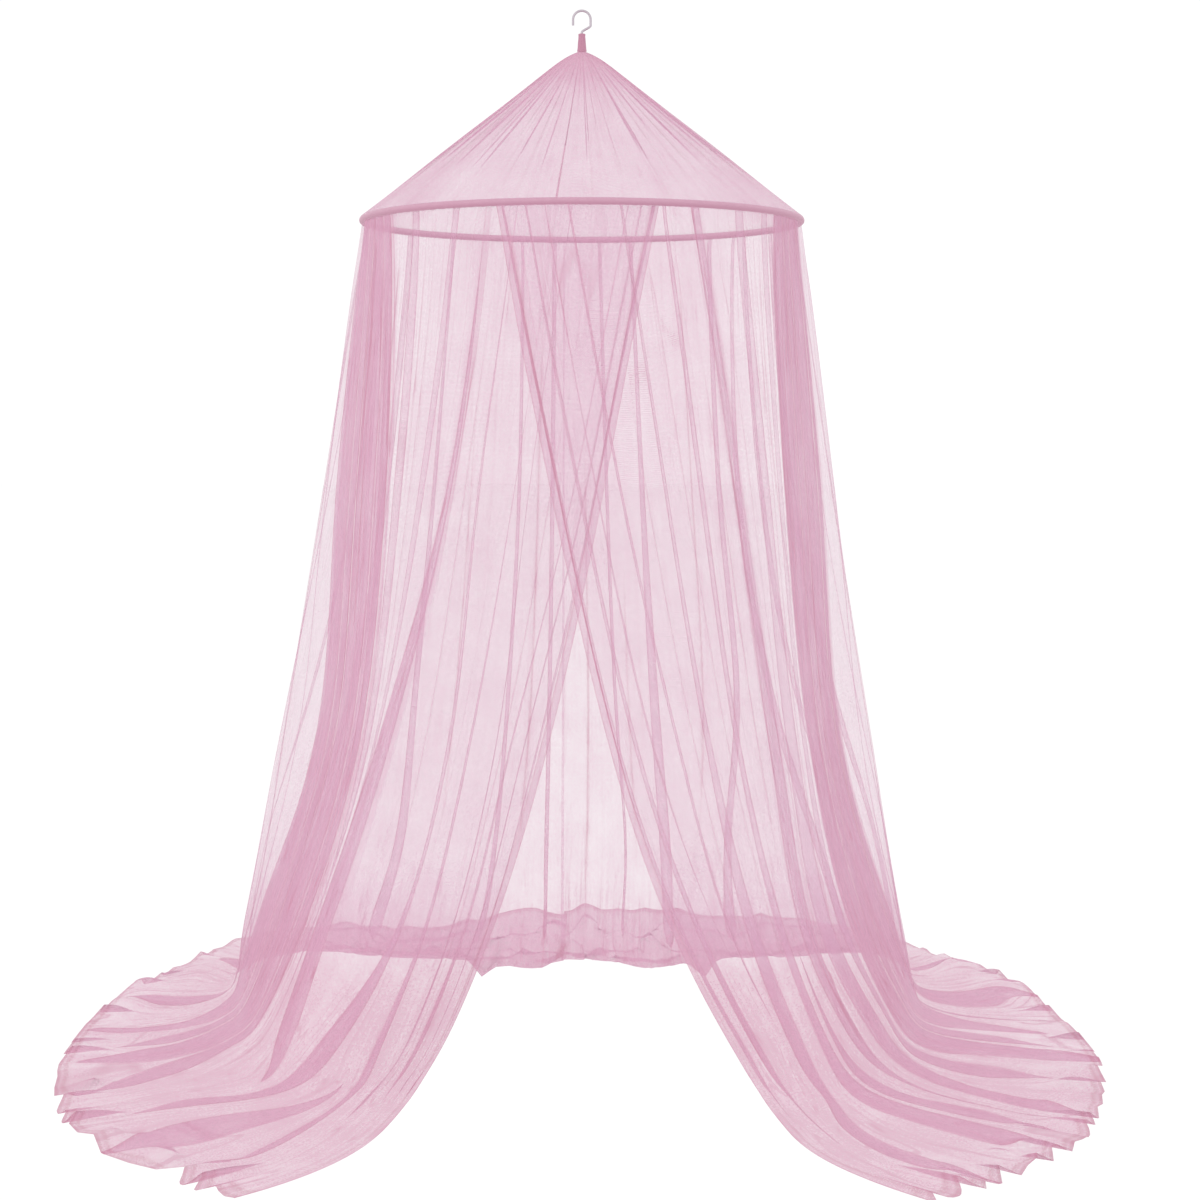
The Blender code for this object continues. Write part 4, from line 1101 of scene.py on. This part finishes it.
def streaks(tree, place, across, down, detail):
    """Noise drawn out down the cloth: across and down are its scales."""
    long = add_node(tree, "Mapping", Vector=place, Scale=(across, down, 1.0))
    return noise(tree, long.outputs["Vector"], 1.0, Detail=detail)


def fine_gathers(tree):
    """Thin lines down the net where it is gathered: 1 between them, more on them."""
    place = flat_place(tree)
    off = reckon(tree, "SUBTRACT", streaks(tree, place, 30.0, 1.1, 2.0), 0.5)
    line = remap(tree, reckon(tree, "ABSOLUTE", off), 0.016, 0.0, 0.0, 0.75, soft=True)
    bunch = remap(tree, streaks(tree, place, 95.0, 0.9, 3.0), 0.3, 0.7, -0.26, 0.26)
    both = reckon(tree, "ADD", line, bunch)
    return reckon(tree, "MULTIPLY_ADD", both, point_value(tree, "gather"), 1.0)


def net_cloth(name):
    """Sheer net: the cover of each place is shared out between its threads and its holes."""
    material, tree, shader = new_material(name, 0.85, 0.0)
    shader.inputs["Specular IOR Level"].default_value = 0.1
    hole_cover = 1.0 - THREAD_CONTRAST * 0.8
    thread_cover = 1.0 + THREAD_CONTRAST * 1.2
    spread = remap(tree, mesh_weave(tree, NET_PITCH), 0.0, 1.0, hole_cover, thread_cover, clamp=False)
    cover = point_value(tree, "cover")
    place = object_place(tree)
    cloud = noise(tree, place, 9.0, Detail=6.0, Roughness=0.62)
    drift = remap(tree, cloud, 0.3, 0.7, 0.84, 1.14)
    grain = noise(tree, place, 210.0, Detail=1.0)
    speckle = remap(tree, grain, 0.25, 0.75, 0.80, 1.20)
    fine = fine_gathers(tree)
    stopped = cover
    for factor in (drift, speckle, fine):
        stopped = reckon(tree, "MULTIPLY", stopped, factor)
    stopped = reckon(tree, "MULTIPLY", stopped, spread, clamp=True)
    tree.links.new(stopped, shader.inputs["Alpha"])
    bunched = remap(tree, cover, 0.30, 0.62)
    ground = blend_colours(tree, bunched, NET_COLOUR, NET_BUNCHED)
    # The colour darkens towards the crease colour: painted shade on creases, fold turns and fine gathers,
    # and the darker thread of the hem's stitches and rim
    above = reckon(tree, "SUBTRACT", fine, 1.0)
    crease_shade = reckon(tree, "MULTIPLY_ADD", above, 0.75, point_value(tree, "crease_shade_and_stitches"), clamp=True)
    tree.links.new(blend_colours(tree, crease_shade, ground, NET_CREASE_SHADE), shader.inputs["Base Color"])
    return material


def woven_cloth(name, colour, dark, scale, seam_shade_z=None):
    """Close plain weave for the casing and the sleeve; below the given seam height the casing darkens as
    painted shade on its underside, along its seam.
    """
    material, tree, shader = new_material(name, 0.8, 0.0, 0.2)
    place = object_place(tree)
    tone = blend_colours(tree, noise(tree, place, scale, Detail=4.0), colour, dark)
    if seam_shade_z is not None:
        # Below the seam height the colour darkens towards the casing's bottom: painted shade on its
        # underside, along the seam
        height = add_node(tree, "SeparateXYZ", Vector=place)
        below = remap(tree, height.outputs["Z"], seam_shade_z, seam_shade_z - CASING_PUFF)
        tone = blend_colours(tree, below, tone, CASING_SEAM_SHADE)
    tree.links.new(tone, shader.inputs["Base Color"])
    weave = noise(tree, place, scale * 12, Detail=2.0)
    relief = add_node(tree, "Bump", Strength=0.25, Distance=0.0006, Height=weave)
    tree.links.new(relief.outputs["Normal"], shader.inputs["Normal"])
    return material


def hard_surface(name, roughness, metallic, scale, colour, dark):
    """The wire's plating or the rod's plastic, with a faint change of tone."""
    material, tree, shader = new_material(name, roughness, metallic)
    tone = blend_colours(tree, noise(tree, object_place(tree), scale), colour, dark)
    tree.links.new(tone, shader.inputs["Base Color"])
    return material


# ---------------------------------------------------------------- stage, light and camera
FLOOR_HALF = 40.0
FLOOR_GREY = 0.97
WORLD_STRENGTH = 1.04
LAMP_SIZE = 4.0
LAMP_POWER = 30.0
LAMP_PLACE = (-3.4, -4.6, 2.2)
LAMP_AIM = (0.0, 0.0, -1.3)
SENSOR_WIDTH = 36.0
LENS = 64.68
CAMERA_PLACE = (0.0413, -5.0, FLOOR_Z + 1.458)
CAMERA_TILT = 85.07
SHEER_LAYERS = 64


def make_stage():
    bm = bmesh.new()
    bmesh.ops.create_grid(bm, x_segments=1, y_segments=1, size=FLOOR_HALF)
    bmesh.ops.translate(bm, verts=bm.verts, vec=(0.0, 0.0, FLOOR_Z))
    mesh = mesh_from(bm, "floor")
    floor = add_piece(mesh, "floor")
    material, _, shader = new_material("pale_floor", 0.9, 0.0)
    shader.inputs["Base Color"].default_value = (FLOOR_GREY, FLOOR_GREY, FLOOR_GREY, 1.0)
    shader.inputs["Specular IOR Level"].default_value = 0.0
    mesh.materials.append(material)


def make_light():
    world = bpy.data.worlds.new("studio")
    world.use_nodes = True
    background = world.node_tree.nodes["Background"]
    background.inputs["Color"].default_value = (1.0, 1.0, 1.0, 1.0)
    background.inputs["Strength"].default_value = WORLD_STRENGTH
    bpy.context.scene.world = world
    lamp = bpy.data.lights.new("softbox", "AREA")
    lamp.shape = "SQUARE"
    lamp.size = LAMP_SIZE
    lamp.energy = LAMP_POWER
    light = bpy.data.objects.new("softbox", lamp)
    bpy.context.scene.collection.objects.link(light)
    light.location = LAMP_PLACE
    aim = Vector(LAMP_AIM) - light.location
    light.rotation_euler = aim.to_track_quat("-Z", "Y").to_euler()


def make_camera():
    lens = bpy.data.cameras.new("camera")
    lens.sensor_width = SENSOR_WIDTH
    lens.lens = LENS
    camera = bpy.data.objects.new("camera", lens)
    bpy.context.scene.collection.objects.link(camera)
    camera.location = CAMERA_PLACE
    camera.rotation_euler = (math.radians(CAMERA_TILT), 0.0, 0.0)
    bpy.context.scene.camera = camera
    bpy.context.scene.view_settings.view_transform = "Standard"
    bpy.context.scene.cycles.transparent_max_bounces = SHEER_LAYERS


# ---------------------------------------------------------------- the canopy
left = Panel("net_skirt_left", -1, LEFT_STRINGS, LEFT_FOLDS, LEFT_BUNDLES, LEFT_BUCKLES, LEFT_PUSHES,
             LEFT_STAND_OFF, 0.8)
right = Panel("net_skirt_right", 1, RIGHT_STRINGS, RIGHT_FOLDS, RIGHT_BUNDLES, RIGHT_BUCKLES,
              RIGHT_PUSHES, RIGHT_STAND_OFF, 3.1)

skirt_net = net_cloth("skirt_net")
roof_cloth = net_cloth("roof_net")
binding = woven_cloth("apex_binding", BINDING_COLOUR, BINDING_DARK, BINDING_SCALE)
casing = woven_cloth("casing_weave", CASING_COLOUR, CASING_DARK, CASING_SCALE, seam_shade_z=HOOP_Z + 0.002)
wire = hard_surface("plated_wire", 0.35, 0.9, 420.0, WIRE_COLOUR, WIRE_DARK)
rod = hard_surface("hoop_rod_plastic", 0.45, 0.0, 30.0, ROD_COLOUR, ROD_DARK)

left_piece = net_panel(left, skirt_net)
right_piece = net_panel(right, skirt_net)
roof_piece = net_roof(roof_cloth)
casing_piece = hoop_casing(casing)
sleeve_piece = apex_sleeve(binding)
hook_piece = hook_wire(wire)
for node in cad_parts.values():
    if node.name == "hoop":
        node.data.materials.clear()
        node.data.materials.append(rod)

PIECES = (
    (left_piece, "skirt_left", "skirt_net_cloth"),
    (right_piece, "skirt_right", "skirt_net_cloth"),
    (roof_piece, "roof_net", "roof_net_cloth"),
    (casing_piece, "hoop_casing", "casing_cloth"),
    (sleeve_piece, "apex_sleeve", "binding"),
    (hook_piece, "hook", "wire"),
)
for piece, node, slot in PIECES:
    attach(piece, "root")
    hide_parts(node)

# The net lies many sheer layers deep, and would shade itself grey
for net in (left_piece, right_piece, roof_piece):
    net.visible_shadow = False
    net.visible_diffuse = False

make_stage()
make_light()
make_camera()
